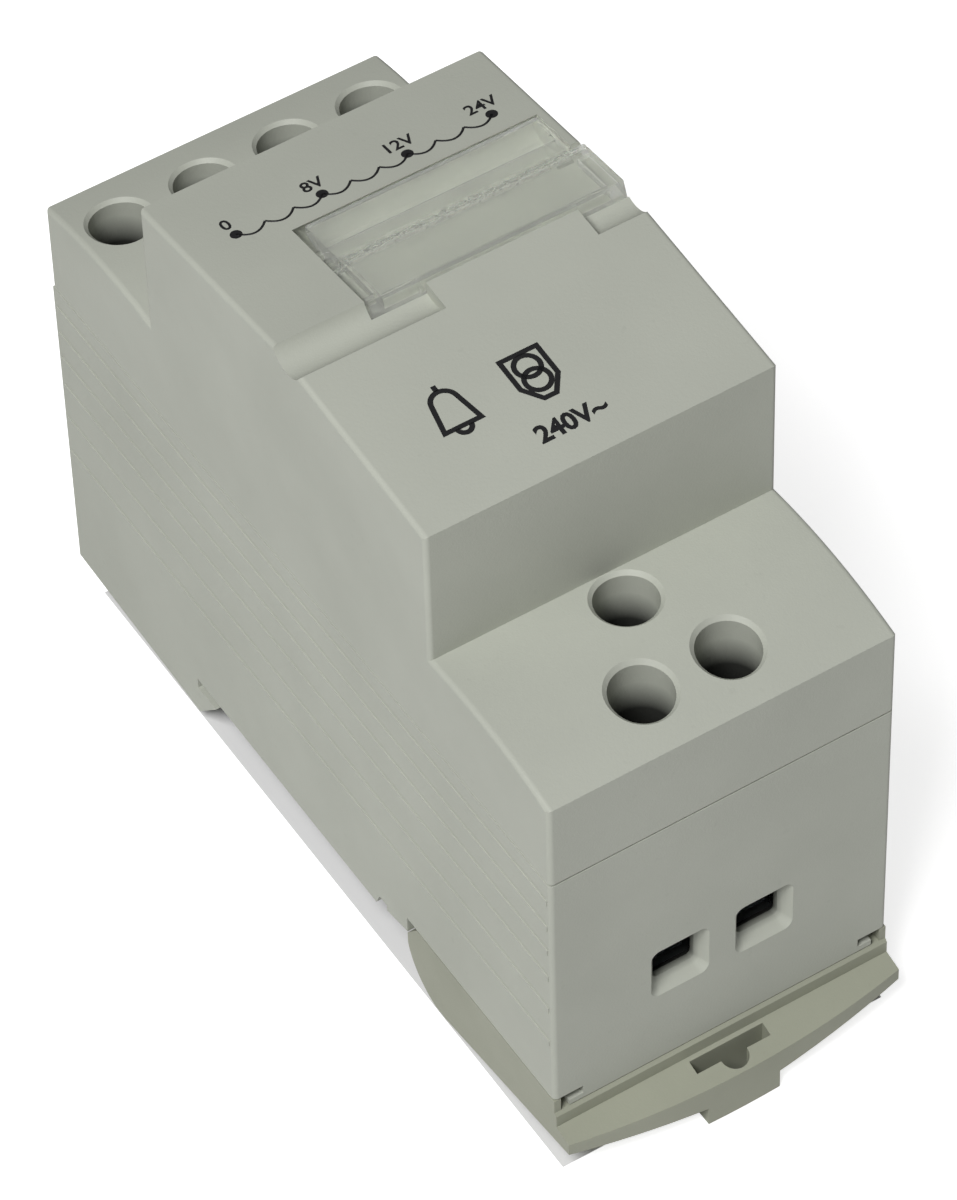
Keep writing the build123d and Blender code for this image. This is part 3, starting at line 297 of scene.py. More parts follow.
@dataclass(frozen=True)
class Finish:
    """One surface finish.

    Attributes:
        name: name of the material.
        colour: linear base colour.
        roughness: lowest and highest roughness over the surface.
        variation: how far clouding darkens the colour.
    """

    name: str
    colour: tuple[float, float, float]
    roughness: tuple[float, float] = (0.45, 0.6)
    variation: float = 0.05

    def start(self) -> tuple[bpy.types.Material, TreeWriter, bpy.types.Node, bpy.types.NodeSocket]:
        """Make an empty material.

        Returns:
            The material, its writer, its Principled node and the object coordinates.
        """
        material = bpy.data.materials.new(self.name)
        material.use_nodes = True
        write = TreeWriter(material.node_tree)
        shader = material.node_tree.nodes["Principled BSDF"]
        coordinates = write.add("ShaderNodeTexCoord")
        material.diffuse_color = (*self.colour, 1.0)
        return material, write, shader, coordinates.outputs["Object"]

    def shade(self, amount: float) -> tuple[float, float, float, float]:
        """Give the base colour at a share of its brightness.

        Args:
            amount: the share.

        Returns:
            The colour, with full alpha.
        """
        return tuple(c * amount for c in self.colour) + (1.0,)

    def tint(
        self,
        write: TreeWriter,
        shader: bpy.types.Node,
        mask: bpy.types.NodeSocket,
        span: tuple[float, float] = (0.3, 0.7),
    ) -> bpy.types.NodeSocket:
        """Let a mask vary colour and roughness.

        Args:
            write: writer of the material's tree.
            shader: the Principled node.
            mask: value from 0 to 1 over the surface.
            span: lowest and highest value that the mask is read between.

        Returns:
            The colour socket that feeds the shader.
        """
        light, dark = self.shade(1.0 + self.variation), self.shade(1.0 - self.variation)
        colour = write.blend(write.remap(mask, span), light, dark)
        write.link(colour, shader.inputs["Base Color"])
        write.link(write.remap(mask, span, self.roughness), shader.inputs["Roughness"])
        return colour

    def bump(
        self,
        write: TreeWriter,
        shader: bpy.types.Node,
        height: bpy.types.NodeSocket,
        depth: float,
        strength: float = 1.0,
    ) -> None:
        """Raise the surface by a height pattern.

        Args:
            write: writer of the material's tree.
            shader: the Principled node.
            height: the pattern.
            depth: height of the pattern in metres.
            strength: strength of the bump.
        """
        bump = write.add("ShaderNodeBump", {"Strength": strength, "Distance": depth})
        write.link(height, bump.inputs["Height"])
        write.link(bump.outputs["Normal"], shader.inputs["Normal"])


@dataclass(frozen=True)
class MouldedPlastic(Finish):
    """Matte moulded plastic with an eroded grain.

    Attributes:
        grain_depth: height of the grain in metres.
        specks: how strongly small dark specks show.
        speck_shade: brightness of the specks, as a share.
        specular: specular level.
        core: half width, half length and top of the space inside the walls, in metres. Painted
            shade darkens its surfaces, most deep down in the wells. None for a piece without wells.
        core_y: place of the middle of that space along the part, in metres.
        painted_shade_fade: how far the painted shade fades in across, along and down, in metres.
        painted_well_shade: brightness of the painted shade at its darkest, as a share.
    """

    grain_depth: float = 0.000022
    specks: float = 0.06
    speck_shade: float = 0.45
    specular: float = 0.42
    core: tuple[float, float, float] | None = None
    core_y: float = 0.00195
    painted_shade_fade: tuple[float, float, float] = (0.0008, 0.0014, 0.0035)
    painted_well_shade: float = 0.06

    def inside(self, write: TreeWriter, place: bpy.types.NodeSocket) -> bpy.types.NodeSocket:
        """Mask the painted shade deep inside the walls, such as in the lower part of a well.

        Args:
            write: the writer of the material.
            place: the object coordinates.

        Returns:
            A value from 0 outside to 1 deep inside.
        """
        split = write.add("ShaderNodeSeparateXYZ")
        write.link(place, split.inputs["Vector"])
        reaches = (
            write.math("ABSOLUTE", split.outputs["X"]),
            write.math("ABSOLUTE", write.math("SUBTRACT", split.outputs["Y"], self.core_y)),
            split.outputs["Z"],
        )
        # Painted shade: fades in across, along and down towards the depth of the wells.
        mask: object = 1.0
        for reach, limit, fade in zip(reaches, self.core, self.painted_shade_fade):
            step = write.remap(reach, (limit - fade, limit), (1.0, 0.0))
            mask = write.math("MULTIPLY", step, mask)
        return mask

    def make(self, shop: Workshop) -> bpy.types.Material:
        """Make the material.

        Args:
            shop: the shared groups.

        Returns:
            The material.
        """
        material, write, shader, place = self.start()
        grain = write.add("ShaderNodeGroup", node_tree=shop.grain)
        write.link(place, grain.inputs["Vector"])
        colour = self.tint(write, shader, grain.outputs["Cloud"])
        specks = write.math("MULTIPLY", grain.outputs["Specks"], self.specks)
        colour = write.blend(specks, colour, self.shade(self.speck_shade))
        # Painted shade: the walls deep in the wells are darkened towards the bottom, where shade
        # falls.
        if self.core is not None:
            colour = write.blend(self.inside(write, place), colour, self.shade(self.painted_well_shade))
        write.link(colour, shader.inputs["Base Color"])
        self.bump(write, shader, grain.outputs["Height"], self.grain_depth)
        shader.inputs["Specular IOR Level"].default_value = self.specular
        return material


@dataclass(frozen=True)
class ClearPlastic(Finish):
    """Clear polished plastic, with a flawed line where its thickness steps.

    Attributes:
        step_y: place of the step along the part, in metres.
        step_width: width of the flawed line in metres.
        shadow_pass: share of a lamp's light that goes through to what lies below.
        clearness: share of the light that passes instead of being scattered.
        bubble_scale: how fine the bubbles of the flawed line are.
        ripple_scale: how fine the ripple of the surface is.
        ripple_rise: height of the ripple, as a share of the bubbles' height.
        depth: height of the bubbles in metres.
        bump_strength: strength of the bump.
        flaw_rough: roughness of the flawed line.
        ripple_rough: roughness that the ripple adds.
    """

    step_y: float = 0.0
    step_width: float = 0.0006
    shadow_pass: float = 0.4
    clearness: float = 0.84
    bubble_scale: float = 1500.0
    ripple_scale: float = 160.0
    ripple_rise: float = 0.15
    depth: float = 0.00016
    bump_strength: float = 0.9
    flaw_rough: float = 0.6
    ripple_rough: float = 0.08

    def make(self) -> bpy.types.Material:
        """Make the material.

        Returns:
            The material.
        """
        material, write, shader, place = self.start()
        split = write.add("ShaderNodeSeparateXYZ")
        bubbles = write.add("ShaderNodeTexNoise", {"Scale": self.bubble_scale, "Detail": 2.0})
        ripple = write.add("ShaderNodeTexNoise", {"Scale": self.ripple_scale, "Detail": 1.0})
        for node in (split, bubbles, ripple):
            write.link(place, node.inputs["Vector"])
        away = write.math("ABSOLUTE", write.math("SUBTRACT", split.outputs["Y"], self.step_y))
        line = write.remap(away, (0.0, self.step_width), (1.0, 0.0))
        flaw = write.math("MULTIPLY", line, bubbles.outputs["Fac"])
        rise = write.math("MULTIPLY", ripple.outputs["Fac"], self.ripple_rise)
        self.bump(write, shader, write.math("ADD", flaw, rise), self.depth, self.bump_strength)
        flawed = write.math("MULTIPLY", flaw, self.flaw_rough)
        rippled = write.math("MULTIPLY", ripple.outputs["Fac"], self.ripple_rough)
        write.link(write.math("ADD", flawed, rippled), shader.inputs["Roughness"])
        shader.inputs["Base Color"].default_value = (*self.colour, 1.0)
        shader.inputs["Transmission Weight"].default_value = self.clearness
        shader.inputs["IOR"].default_value = 1.5
        path = write.add("ShaderNodeLightPath")
        veil = write.math("MULTIPLY", path.outputs["Is Shadow Ray"], self.shadow_pass)
        write.link(write.math("SUBTRACT", 1.0, veil), shader.inputs["Alpha"])
        return material


@dataclass(frozen=True)
class Metal(Finish):
    """Plated, rolled or drawn metal.

    Attributes:
        line_scale: how fine its lines are.
        stretch: how long the lines are drawn out along the part.
        depth: height of the lines in metres.
    """

    line_scale: float = 3000.0
    stretch: float = 0.06
    depth: float = 0.000006

    def make(self, shop: Workshop) -> bpy.types.Material:
        """Make the material.

        Args:
            shop: the shared groups.

        Returns:
            The material.
        """
        material, write, shader, place = self.start()
        drawn = {"Line Scale": self.line_scale, "Stretch": self.stretch}
        lines = write.add("ShaderNodeGroup", drawn, node_tree=shop.lines)
        write.link(place, lines.inputs["Vector"])
        self.tint(write, shader, lines.outputs["Patches"])
        self.bump(write, shader, lines.outputs["Height"], self.depth)
        shader.inputs["Metallic"].default_value = 1.0
        return material


@dataclass(frozen=True)
class StackedSheets(Finish):
    """Edges of varnished steel sheets, stacked across the part.

    Attributes:
        sheet: thickness of one sheet in metres.
        seam_depth: depth of the seams between sheets in metres.
        line_scale: how fine the lines on a sheet are.
        patch_scale: how fine its patches are.
        metallic: how metallic the varnished steel looks.
    """

    sheet: float = 0.0005
    seam_depth: float = 0.00003
    line_scale: float = 1800.0
    patch_scale: float = 240.0
    metallic: float = 0.75

    def make(self, shop: Workshop) -> bpy.types.Material:
        """Make the material.

        Args:
            shop: the shared groups.

        Returns:
            The material.
        """
        material, write, shader, place = self.start()
        # One band of a wave texture is pi / 10 long at scale 1.
        seams = write.add(
            "ShaderNodeTexWave",
            {"Scale": math.pi / 10 / self.sheet, "Distortion": 0.4, "Detail": 1.0},
            wave_type="BANDS",
            bands_direction="X",
        )
        scales = {"Line Scale": self.line_scale, "Patch Scale": self.patch_scale}
        lines = write.add("ShaderNodeGroup", scales, node_tree=shop.lines)
        for node in (seams, lines):
            write.link(place, node.inputs["Vector"])
        mask = write.math(
            "ADD",
            write.math("MULTIPLY", seams.outputs["Fac"], 0.5),
            write.math("MULTIPLY", lines.outputs["Patches"], 0.5),
        )
        self.tint(write, shader, mask, (0.2, 0.8))
        self.bump(write, shader, seams.outputs["Fac"], self.seam_depth)
        shader.inputs["Metallic"].default_value = self.metallic
        return material


@dataclass(frozen=True)
class SmoothCoat(Finish):
    """Smooth coated or printed surface with slight clouding.

    Attributes:
        depth: height of its unevenness in metres.
        scale: how fine the unevenness is.
    """

    depth: float = 0.00001
    scale: float = 1200.0

    def make(self, shop: Workshop) -> bpy.types.Material:
        """Make the material.

        Args:
            shop: the shared groups.

        Returns:
            The material.
        """
        material, write, shader, place = self.start()
        scales = {"Grain Scale": self.scale, "Cloud Scale": self.scale / 4}
        grain = write.add("ShaderNodeGroup", scales, node_tree=shop.grain)
        write.link(place, grain.inputs["Vector"])
        self.tint(write, shader, grain.outputs["Cloud"])
        self.bump(write, shader, grain.outputs["Height"], self.depth)
        return material


def dress(node: str, material: bpy.types.Material) -> None:
    """Give a carried-over CAD node its material.

    Args:
        node: name of the node.
        material: its finish.
    """
    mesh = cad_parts[node].data
    mesh.materials.clear()
    mesh.materials.append(material)
    log.info("dressed %s with %s", node, material.name)


def piece(
    name: str,
    mesh: bpy.types.Mesh,
    material: bpy.types.Material,
    body: str,
    place: Matrix | None = None,
) -> bpy.types.Object:
    """Make a finished mesh ride on a body.

    Args:
        name: name of the piece.
        mesh: its mesh.
        material: its finish.
        body: name of the body that carries it.
        place: where it goes, or None if the mesh is already in place.

    Returns:
        The new object.
    """
    if place is not None:
        mesh.transform(place)
    mesh.materials.clear()
    mesh.materials.append(material)
    for polygon in mesh.polygons:
        polygon.material_index = 0
    made = bpy.data.objects.new(name, mesh)
    bpy.context.scene.collection.objects.link(made)
    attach(made, body)
    log.info("made %s with %d faces", name, len(mesh.polygons))
    return made


def mesh_of(source: bpy.types.Object) -> bpy.types.Mesh:
    """Turn an object with modifiers, or a curve, into a plain mesh and remove the object.

    Args:
        source: the object.

    Returns:
        Its evaluated mesh.
    """
    bpy.context.view_layer.update()
    graph = bpy.context.evaluated_depsgraph_get()
    mesh = bpy.data.meshes.new_from_object(source.evaluated_get(graph))
    bpy.data.objects.remove(source)
    return mesh


@dataclass
class NoseFacets:
    """Where the two sloping faces of the nose lie, in millimetres.

    Places along the part are counted from the housing's middle.

    Attributes:
        middle: place of the housing's middle along the part.
        ridge_y: place of the ridge along the part.
        ridge_z: height of the ridge.
        near_y: place of the near facet's lower edge.
        near_z: height of the near facet's lower edge.
        far_y: place of the far facet's lower edge.
        far_z: height of the far facet's lower edge.
        proud: how far the print's middle stands off the face.
    """

    middle: float = 1.95
    ridge_y: float = 0.5
    ridge_z: float = 70.4
    near_y: float = -23.7
    near_z: float = 68.45
    far_y: float = 23.7
    far_z: float = 67.3
    proud: float = 0.006

    def slope(self, facet: Facet) -> float:
        """Give a facet's rise per length along +Y.

        Args:
            facet: which face.

        Returns:
            The rise.
        """
        if facet is Facet.NEAR:
            return (self.ridge_z - self.near_z) / (self.ridge_y - self.near_y)
        return (self.far_z - self.ridge_z) / (self.far_y - self.ridge_y)

    def place(self, facet: Facet, x: float, y: float) -> Matrix:
        """Find the matrix that lays a print on a facet.

        Args:
            facet: which face.
            x: place across, in millimetres.
            y: place along, in millimetres.

        Returns:
            Matrix whose X runs across, whose Y runs up the print and whose Z leaves the face.
        """
        slope = self.slope(facet)
        height = self.ridge_z + slope * (y - self.ridge_y)
        turn = Matrix.Rotation(math.atan(slope), 4, "X")
        spot = Vector((x, y + self.middle, height)) + turn @ Vector((0, 0, self.proud))
        return Matrix.Translation(spot * MM) @ turn


Spot = tuple[float, float]
Stroke = tuple[Sequence[Spot], bool]


def mitre(before: Vector | None, spot: Vector, after: Vector | None, width: float) -> Vector:
    """Find how far a stroke's edge lies from its middle line at one point.

    Args:
        before: the point before, or None at the start.
        spot: the point.
        after: the point after, or None at the end.
        width: width of the stroke.

    Returns:
        The way from the point to the edge on its left.
    """
    sharpest = 0.45
    one = (spot - before).normalized() if before is not None else None
    two = (after - spot).normalized() if after is not None else None
    along = ((one or two) + (two or one)).normalized()
    across = Vector((-along.y, along.x))
    ahead = two or one
    lean = max(sharpest, abs(across.dot(Vector((-ahead.y, ahead.x)))))
    return across * width / 2 / lean


def ribbon(lines: Sequence[Stroke], width: float, depth: float) -> bpy.types.Mesh:
    """Build flat printed strokes along polylines.

    Args:
        lines: points in millimetres and whether the line closes, for each stroke.
        width: width of the strokes in millimetres.
        depth: thickness of the print in millimetres.

    Returns:
        A mesh with all the strokes.
    """
    sides = ((-1, -0.5), (1, -0.5), (1, 0.5), (-1, 0.5))
    shape = bmesh.new()
    for points, closed in lines:
        spots = [Vector(point) for point in points]
        count = len(spots)
        rings = []
        for i, spot in enumerate(spots):
            before = spots[i - 1] if closed or i > 0 else None
            after = spots[(i + 1) % count] if closed or i < count - 1 else None
            reach = mitre(before, spot, after, width)
            edges = [(spot + reach * side, depth * level) for side, level in sides]
            rings.append([shape.verts.new((p.x * MM, p.y * MM, z * MM)) for p, z in edges])
        for i in range(count if closed else count - 1):
            first, second = rings[i], rings[(i + 1) % count]
            for k in range(len(sides)):
                m = (k + 1) % len(sides)
                shape.faces.new((first[k], second[k], second[m], first[m]))
        if not closed:
            shape.faces.new(rings[0])
            shape.faces.new(reversed(rings[-1]))
    bmesh.ops.recalc_face_normals(shape, faces=shape.faces)
    mesh = bpy.data.meshes.new("ribbon")
    shape.to_mesh(mesh)
    shape.free()
    return mesh


def arc(centre: Spot, radius: float, start: float, end: float, steps: int) -> list[Spot]:
    """List points on an arc.

    Args:
        centre: its centre.
        radius: its radius.
        start: first angle in degrees.
        end: last angle in degrees.
        steps: number of steps.

    Returns:
        The points.
    """
    turns = [math.radians(start + (end - start) * i / steps) for i in range(steps + 1)]
    return [(centre[0] + radius * math.cos(t), centre[1] + radius * math.sin(t)) for t in turns]


def circle(centre: Spot, radius: float, steps: int = 30) -> list[Spot]:
    """List points round a full circle.

    Args:
        centre: its centre.
        radius: its radius.
        steps: number of points.

    Returns:
        The points, without a second one at the start.
    """
    return arc(centre, radius, 0, 360, steps)[:-1]


@dataclass
class Print:
    """Black printed marks on the nose, sizes in millimetres.

    Attributes:
        facets: where the faces lie.
        taps: text of each tap's label and how far it starts from its dot.
        tap_pitch: distance between the dots of the winding line.
        tap_middle: middle of the row of dots.
        tap_y: place of the winding line along the part.
        tap_rise: how far the labels stand over the line.
        tap_size: font size of the labels.
        tap_weight: how far their letters' edges are moved out.
        dot_radius: radius of a dot.
        arcs_between: arcs between two dots.
        arc_sag: how far an arc hangs down.
        line_width: width of the winding line.
        supply_at: place of the supply label.
        supply_size: font size of the supply label.
        supply_weight: how far its letters' edges are moved out.
        bell_at: place of the bell symbol's top.
        shield_at: place of the shield symbol's top.
        ring_radius: radius of the rings in the shield.
        stroke: width of the symbols' strokes.
        ink_depth: thickness of the ink.
    """

    facets: NoseFacets = field(default_factory=NoseFacets)
    taps: tuple[tuple[str, float], ...] = (
        ("0", -0.62),
        ("8V", -1.18),
        ("12V", -1.6),
        ("24V", -1.72),
    )
    tap_pitch: float = 8.88
    tap_middle: float = 0.43
    tap_y: float = 15.45
    tap_rise: float = 1.0
    tap_size: float = 1.98
    tap_weight: float = 0.035
    dot_radius: float = 0.58
    arcs_between: int = 3
    arc_sag: float = 0.85
    line_width: float = 0.24
    supply_at: Spot = (-3.95, -20.35)
    supply_size: float = 2.62
    supply_weight: float = 0.09
    bell_at: Spot = (-8.65, -11.1)
    shield_at: Spot = (-0.5, -11.05)
    ring_radius: float = 1.2
    stroke: float = 0.5
    ink_depth: float = 0.02

    def first_x(self) -> float:
        """Give the place of the first dot across the part."""
        return self.tap_middle - (len(self.taps) - 1) / 2 * self.tap_pitch

    def build(self, ink: bpy.types.Material) -> None:
        """Make every mark.

        Args:
            ink: the ink's finish.
        """
        self.winding_line(ink)
        for i, (text, shift) in enumerate(self.taps):
            x = self.first_x() + i * self.tap_pitch + shift
            spot = self.facets.place(Facet.FAR, x, self.tap_y + self.tap_rise)
            self.words(f"tap_label_{i + 1}", text, self.tap_size, self.tap_weight, spot, ink)
        spot = self.facets.place(Facet.NEAR, *self.supply_at)
        self.words("supply_label", "240V~", self.supply_size, self.supply_weight, spot, ink)
        self.bell(ink)
        self.shield(ink)

    def words(
        self,
        name: str,
        text: str,
        size: float,
        weight: float,
        place: Matrix,
        ink: bpy.types.Material,
    ) -> None:
        """Print a word.

        Args:
            name: name of the piece.
            text: what it says.
            size: font size in millimetres.
            weight: how far the letters' edges are moved out, in millimetres.
            place: where its lower left corner goes.
            ink: the finish.
        """
        curve = bpy.data.curves.new(name, "FONT")
        curve.body = text
        curve.size = size * MM
        curve.offset = weight * MM
        curve.extrude = self.ink_depth / 2 * MM
        curve.resolution_u = 3
        letters = bpy.data.objects.new(name, curve)
        bpy.context.scene.collection.objects.link(letters)
        piece(name, mesh_of(letters), ink, "housing", place)

    def winding_line(self, ink: bpy.types.Material) -> None:
        """Print the row of dots with the arcs of the winding between them, by geometry nodes.

        Args:
            ink: the finish.
        """
        tree = bpy.data.node_groups.new("winding_line", "GeometryNodeTree")
        sizes = {
            "Dots": ("NodeSocketInt", len(self.taps)),
            "Pitch": ("NodeSocketFloat", self.tap_pitch * MM),
            "Dot Radius": ("NodeSocketFloat", self.dot_radius * MM),
            "Arcs Between": ("NodeSocketInt", self.arcs_between),
            "Arc Sag": ("NodeSocketFloat", self.arc_sag * MM),
            "Line Width": ("NodeSocketFloat", self.line_width * MM),
            "Ink Depth": ("NodeSocketFloat", self.ink_depth * MM),
        }
        values = {}
        for label, (kind, value) in sizes.items():
            socket = tree.interface.new_socket(name=label, in_out="INPUT", socket_type=kind)
            values[socket.identifier] = value
        tree.interface.new_socket(
            name="Geometry", in_out="OUTPUT", socket_type="NodeSocketGeometry"
        )
        write = TreeWriter(tree)
        start, end = write.add("NodeGroupInput"), write.add("NodeGroupOutput")
        step, arc_step, middle, tip = (write.add("ShaderNodeCombineXYZ") for _ in range(4))
        dots, arcs = (write.add("GeometryNodeMeshLine", mode="OFFSET") for _ in range(2))
        dotted, arced = (write.add("GeometryNodeInstanceOnPoints") for _ in range(2))
        disc = write.add("GeometryNodeMeshCylinder", {"Vertices": 24})
        bow = write.add("GeometryNodeCurveQuadraticBezier", {"Resolution": 14, "Start": (0, 0, 0)})
        band = write.add("GeometryNodeCurvePrimitiveQuadrilateral")
        swept = write.add("GeometryNodeCurveToMesh", {"Fill Caps": True})
        joined = write.add("GeometryNodeJoinGeometry")
        real = write.add("GeometryNodeRealizeInstances")
        inked = write.add("GeometryNodeSetMaterial", {"Material": ink})
        spans = write.math("SUBTRACT", start.outputs["Dots"], 1.0)
        arc_count = write.math("MULTIPLY", spans, start.outputs["Arcs Between"])
        arc_pitch = write.math("DIVIDE", start.outputs["Pitch"], start.outputs["Arcs Between"])
        sag = write.math("MULTIPLY", start.outputs["Arc Sag"], -2.0)
        for source, target in (
            (arc_pitch, arc_step.inputs["X"]),
            (arc_count, arcs.inputs["Count"]),
            (write.math("DIVIDE", arc_pitch, 2.0), middle.inputs["X"]),
            (sag, middle.inputs["Y"]),
            (arc_pitch, tip.inputs["X"]),
        ):
            write.link(source, target)
        write.wire(
            (start, "Pitch", step, "X"),
            (start, "Dots", dots, "Count"),
            (step, "Vector", dots, "Offset"),
            (start, "Dot Radius", disc, "Radius"),
            (start, "Ink Depth", disc, "Depth"),
            (dots, "Mesh", dotted, "Points"),
            (disc, "Mesh", dotted, "Instance"),
            (arc_step, "Vector", arcs, "Offset"),
            (middle, "Vector", bow, "Middle"),
            (tip, "Vector", bow, "End"),
            (start, "Line Width", band, "Width"),
            (start, "Ink Depth", band, "Height"),
            (bow, "Curve", swept, "Curve"),
            (band, "Curve", swept, "Profile Curve"),
            (arcs, "Mesh", arced, "Points"),
            (swept, "Mesh", arced, "Instance"),
            (dotted, "Instances", joined, "Geometry"),
            (arced, "Instances", joined, "Geometry"),
            (joined, "Geometry", real, "Geometry"),
            (real, "Geometry", inked, "Geometry"),
            (inked, "Geometry", end, "Geometry"),
        )
        place = self.facets.place(Facet.FAR, self.first_x(), self.tap_y)
        piece("winding_line", grown(tree, values), ink, "housing", place)

    def bell(self, ink: bpy.types.Material) -> None:
        """Print the bell symbol.

        Args:
            ink: the finish.
        """
        rim_half, rim_y = 1.85, -4.05
        dome = arc((0.0, -1.15), 1.28, 166, 14, 14)
        outline = [(-rim_half, rim_y)] + dome + [(rim_half, rim_y)]
        clapper = arc((0.0, -4.15), 0.72, 180, 360, 12)
        handle = [(0.0, 0.25), (0.0, 0.9)]
        strokes = [(outline, True), (clapper, False), (handle, False)]
        mesh = ribbon(strokes, self.stroke, self.ink_depth)
        piece("bell_symbol", mesh, ink, "housing", self.facets.place(Facet.NEAR, *self.bell_at))

    def shield(self, ink: bpy.types.Material) -> None:
        """Print the safety transformer symbol: two linked rings in a shield.

        Args:
            ink: the finish.
        """
        half, foot_half, side_y, foot_y = 1.9, 0.62, -3.45, -5.25
        left = [(-foot_half, foot_y), (-half, side_y)]
        outline = [(-half, 0.0), (half, 0.0), (half, side_y), (foot_half, foot_y)] + left
        strokes = [(outline, True)]
        for ring_y in (-1.55, -3.2):
            strokes.append((circle((0.0, ring_y), self.ring_radius), True))
        mesh = ribbon(strokes, self.stroke, self.ink_depth)
        piece("shield_symbol", mesh, ink, "housing", self.facets.place(Facet.NEAR, *self.shield_at))


def grown(tree: bpy.types.NodeTree, values: dict[str, object]) -> bpy.types.Mesh:
    """Evaluate a geometry node tree and keep its result as a plain mesh.

    Args:
        tree: the tree.
        values: its inputs' values, by identifier.

    Returns:
        The mesh.
    """
    seed = bpy.data.objects.new(tree.name, bpy.data.meshes.new(tree.name))
    bpy.context.scene.collection.objects.link(seed)
    modifier = seed.modifiers.new("nodes", "NODES")
    modifier.node_group = tree
    for key, value in values.items():
        modifier[key] = value
    return mesh_of(seed)


@dataclass
class Housing:
    """Base, cover and the screw that holds them together.

    Attributes:
        nodes: names of the mouldings' CAD nodes.
        core: half width, half length and top of the space with painted shade inside, in metres.
    """

    nodes: tuple[str, ...] = ("base_housing", "top_cover")
    core: tuple[float, float, float] = (0.0168, 0.0417, 0.0498)

    def dress(self, shop: Workshop, plated: bpy.types.Material) -> None:
        """Give the mouldings grain and painted shade in their wells, and the screw its plating.

        Args:
            shop: the shared groups.
            plated: finish of the screw.
        """
        # The mouldings' colour darkens deep in the wells as painted shade.
        plastic = MouldedPlastic(
            "housing_plastic", Shade.HOUSING.value, (0.5, 0.62), 0.035, core=self.core
        )
        material = plastic.make(shop)
        for node in self.nodes:
            dress(node, material)
        dress("cover_screw", plated)


@dataclass
class RailClip:
    """The sliding clip, moulded in a slightly yellower plastic.

    Attributes:
        node: name of its CAD node.
    """

    node: str = "rail_clip"

    def dress(self, shop: Workshop) -> None:
        """Give the clip its finish.

        Args:
            shop: the shared groups.
        """
        plastic = MouldedPlastic("clip_plastic", Shade.CLIP.value, (0.42, 0.55), 0.05, 0.000015)
        dress(self.node, plastic.make(shop))


@dataclass
class LabelFlap:
    """The clear flap over the label window.

    Attributes:
        node: name of its CAD node.
        step: place of the step in its thickness, from its near edge, in millimetres.
        colour: linear colour of the clear plastic.
    """

    node: str = "label_flap"
    step: float = 6.9
    colour: tuple[float, float, float] = (0.9, 0.915, 0.865)

    def dress(self) -> None:
        """Give the flap its clear finish."""
        low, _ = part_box(self.node)
        clear = ClearPlastic("clear_plastic", self.colour, step_y=low.y + self.step * MM)
        dress(self.node, clear.make())


@dataclass
class TerminalRow:
    """Screws, cages and contact bars at one end.

    Attributes:
        end: which end.
        poles: number of terminals.
    """

    end: End
    poles: int

    def dress(self, plated: bpy.types.Material, contact: bpy.types.Material) -> None:
        """Give the row its metals.

        Args:
            plated: finish of screws and cages.
            contact: finish of the contact bars.
        """
        for number in range(1, self.poles + 1):
            dress(f"{self.end.value}_screw_{number}", plated)
            dress(f"{self.end.value}_cage_{number}", plated)
            dress(f"{self.end.value}_contact_{number}", contact)


@dataclass
class CoreAndCoil:
    """Laminated core, bobbin, windings, thermistor and leads.

    Attributes:
        sheet: thickness of one lamination in millimetres.
    """

    sheet: float = 0.5

    def dress(self, shop: Workshop) -> None:
        """Give each inner piece its finish.

        Args:
            shop: the shared groups.
        """
        sheets = StackedSheets(
            "core_sheets", (0.2, 0.21, 0.23), (0.35, 0.5), 0.25, self.sheet * MM
        ).make(shop)
        for node in ("e_laminations", "i_laminations"):
            dress(node, sheets)
        bobbin = MouldedPlastic("bobbin_plastic", (0.03, 0.03, 0.034), (0.35, 0.5), 0.1)
        dress("bobbin", bobbin.make(shop))
        copper = Metal("enamelled_copper", (0.62, 0.25, 0.1), (0.2, 0.35), 0.12, 5000.0, 0.04)
        wound = copper.make(shop)
        tape = SmoothCoat("polyester_tape", (0.74, 0.55, 0.06), (0.15, 0.3), 0.06).make(shop)
        for coil in ("primary", "secondary"):
            dress(f"{coil}_winding", wound)
            dress(f"{coil}_tape", tape)
        coat = SmoothCoat("thermistor_coat", (0.62, 0.23, 0.03), (0.2, 0.35), 0.08)
        dress("ptc_thermistor", coat.make(shop))
        sleeve = SmoothCoat("lead_sleeve", (0.5, 0.5, 0.48), (0.35, 0.45), 0.06).make(shop)
        dark = SmoothCoat("supply_lead_sleeve", (0.12, 0.05, 0.03), (0.35, 0.45), 0.06).make(shop)
        for number in range(1, 5):
            dress(f"secondary_lead_{number}", sleeve)
        for node in ("primary_lead_1", "primary_lead_2", "ptc_lead"):
            dress(node, dark)


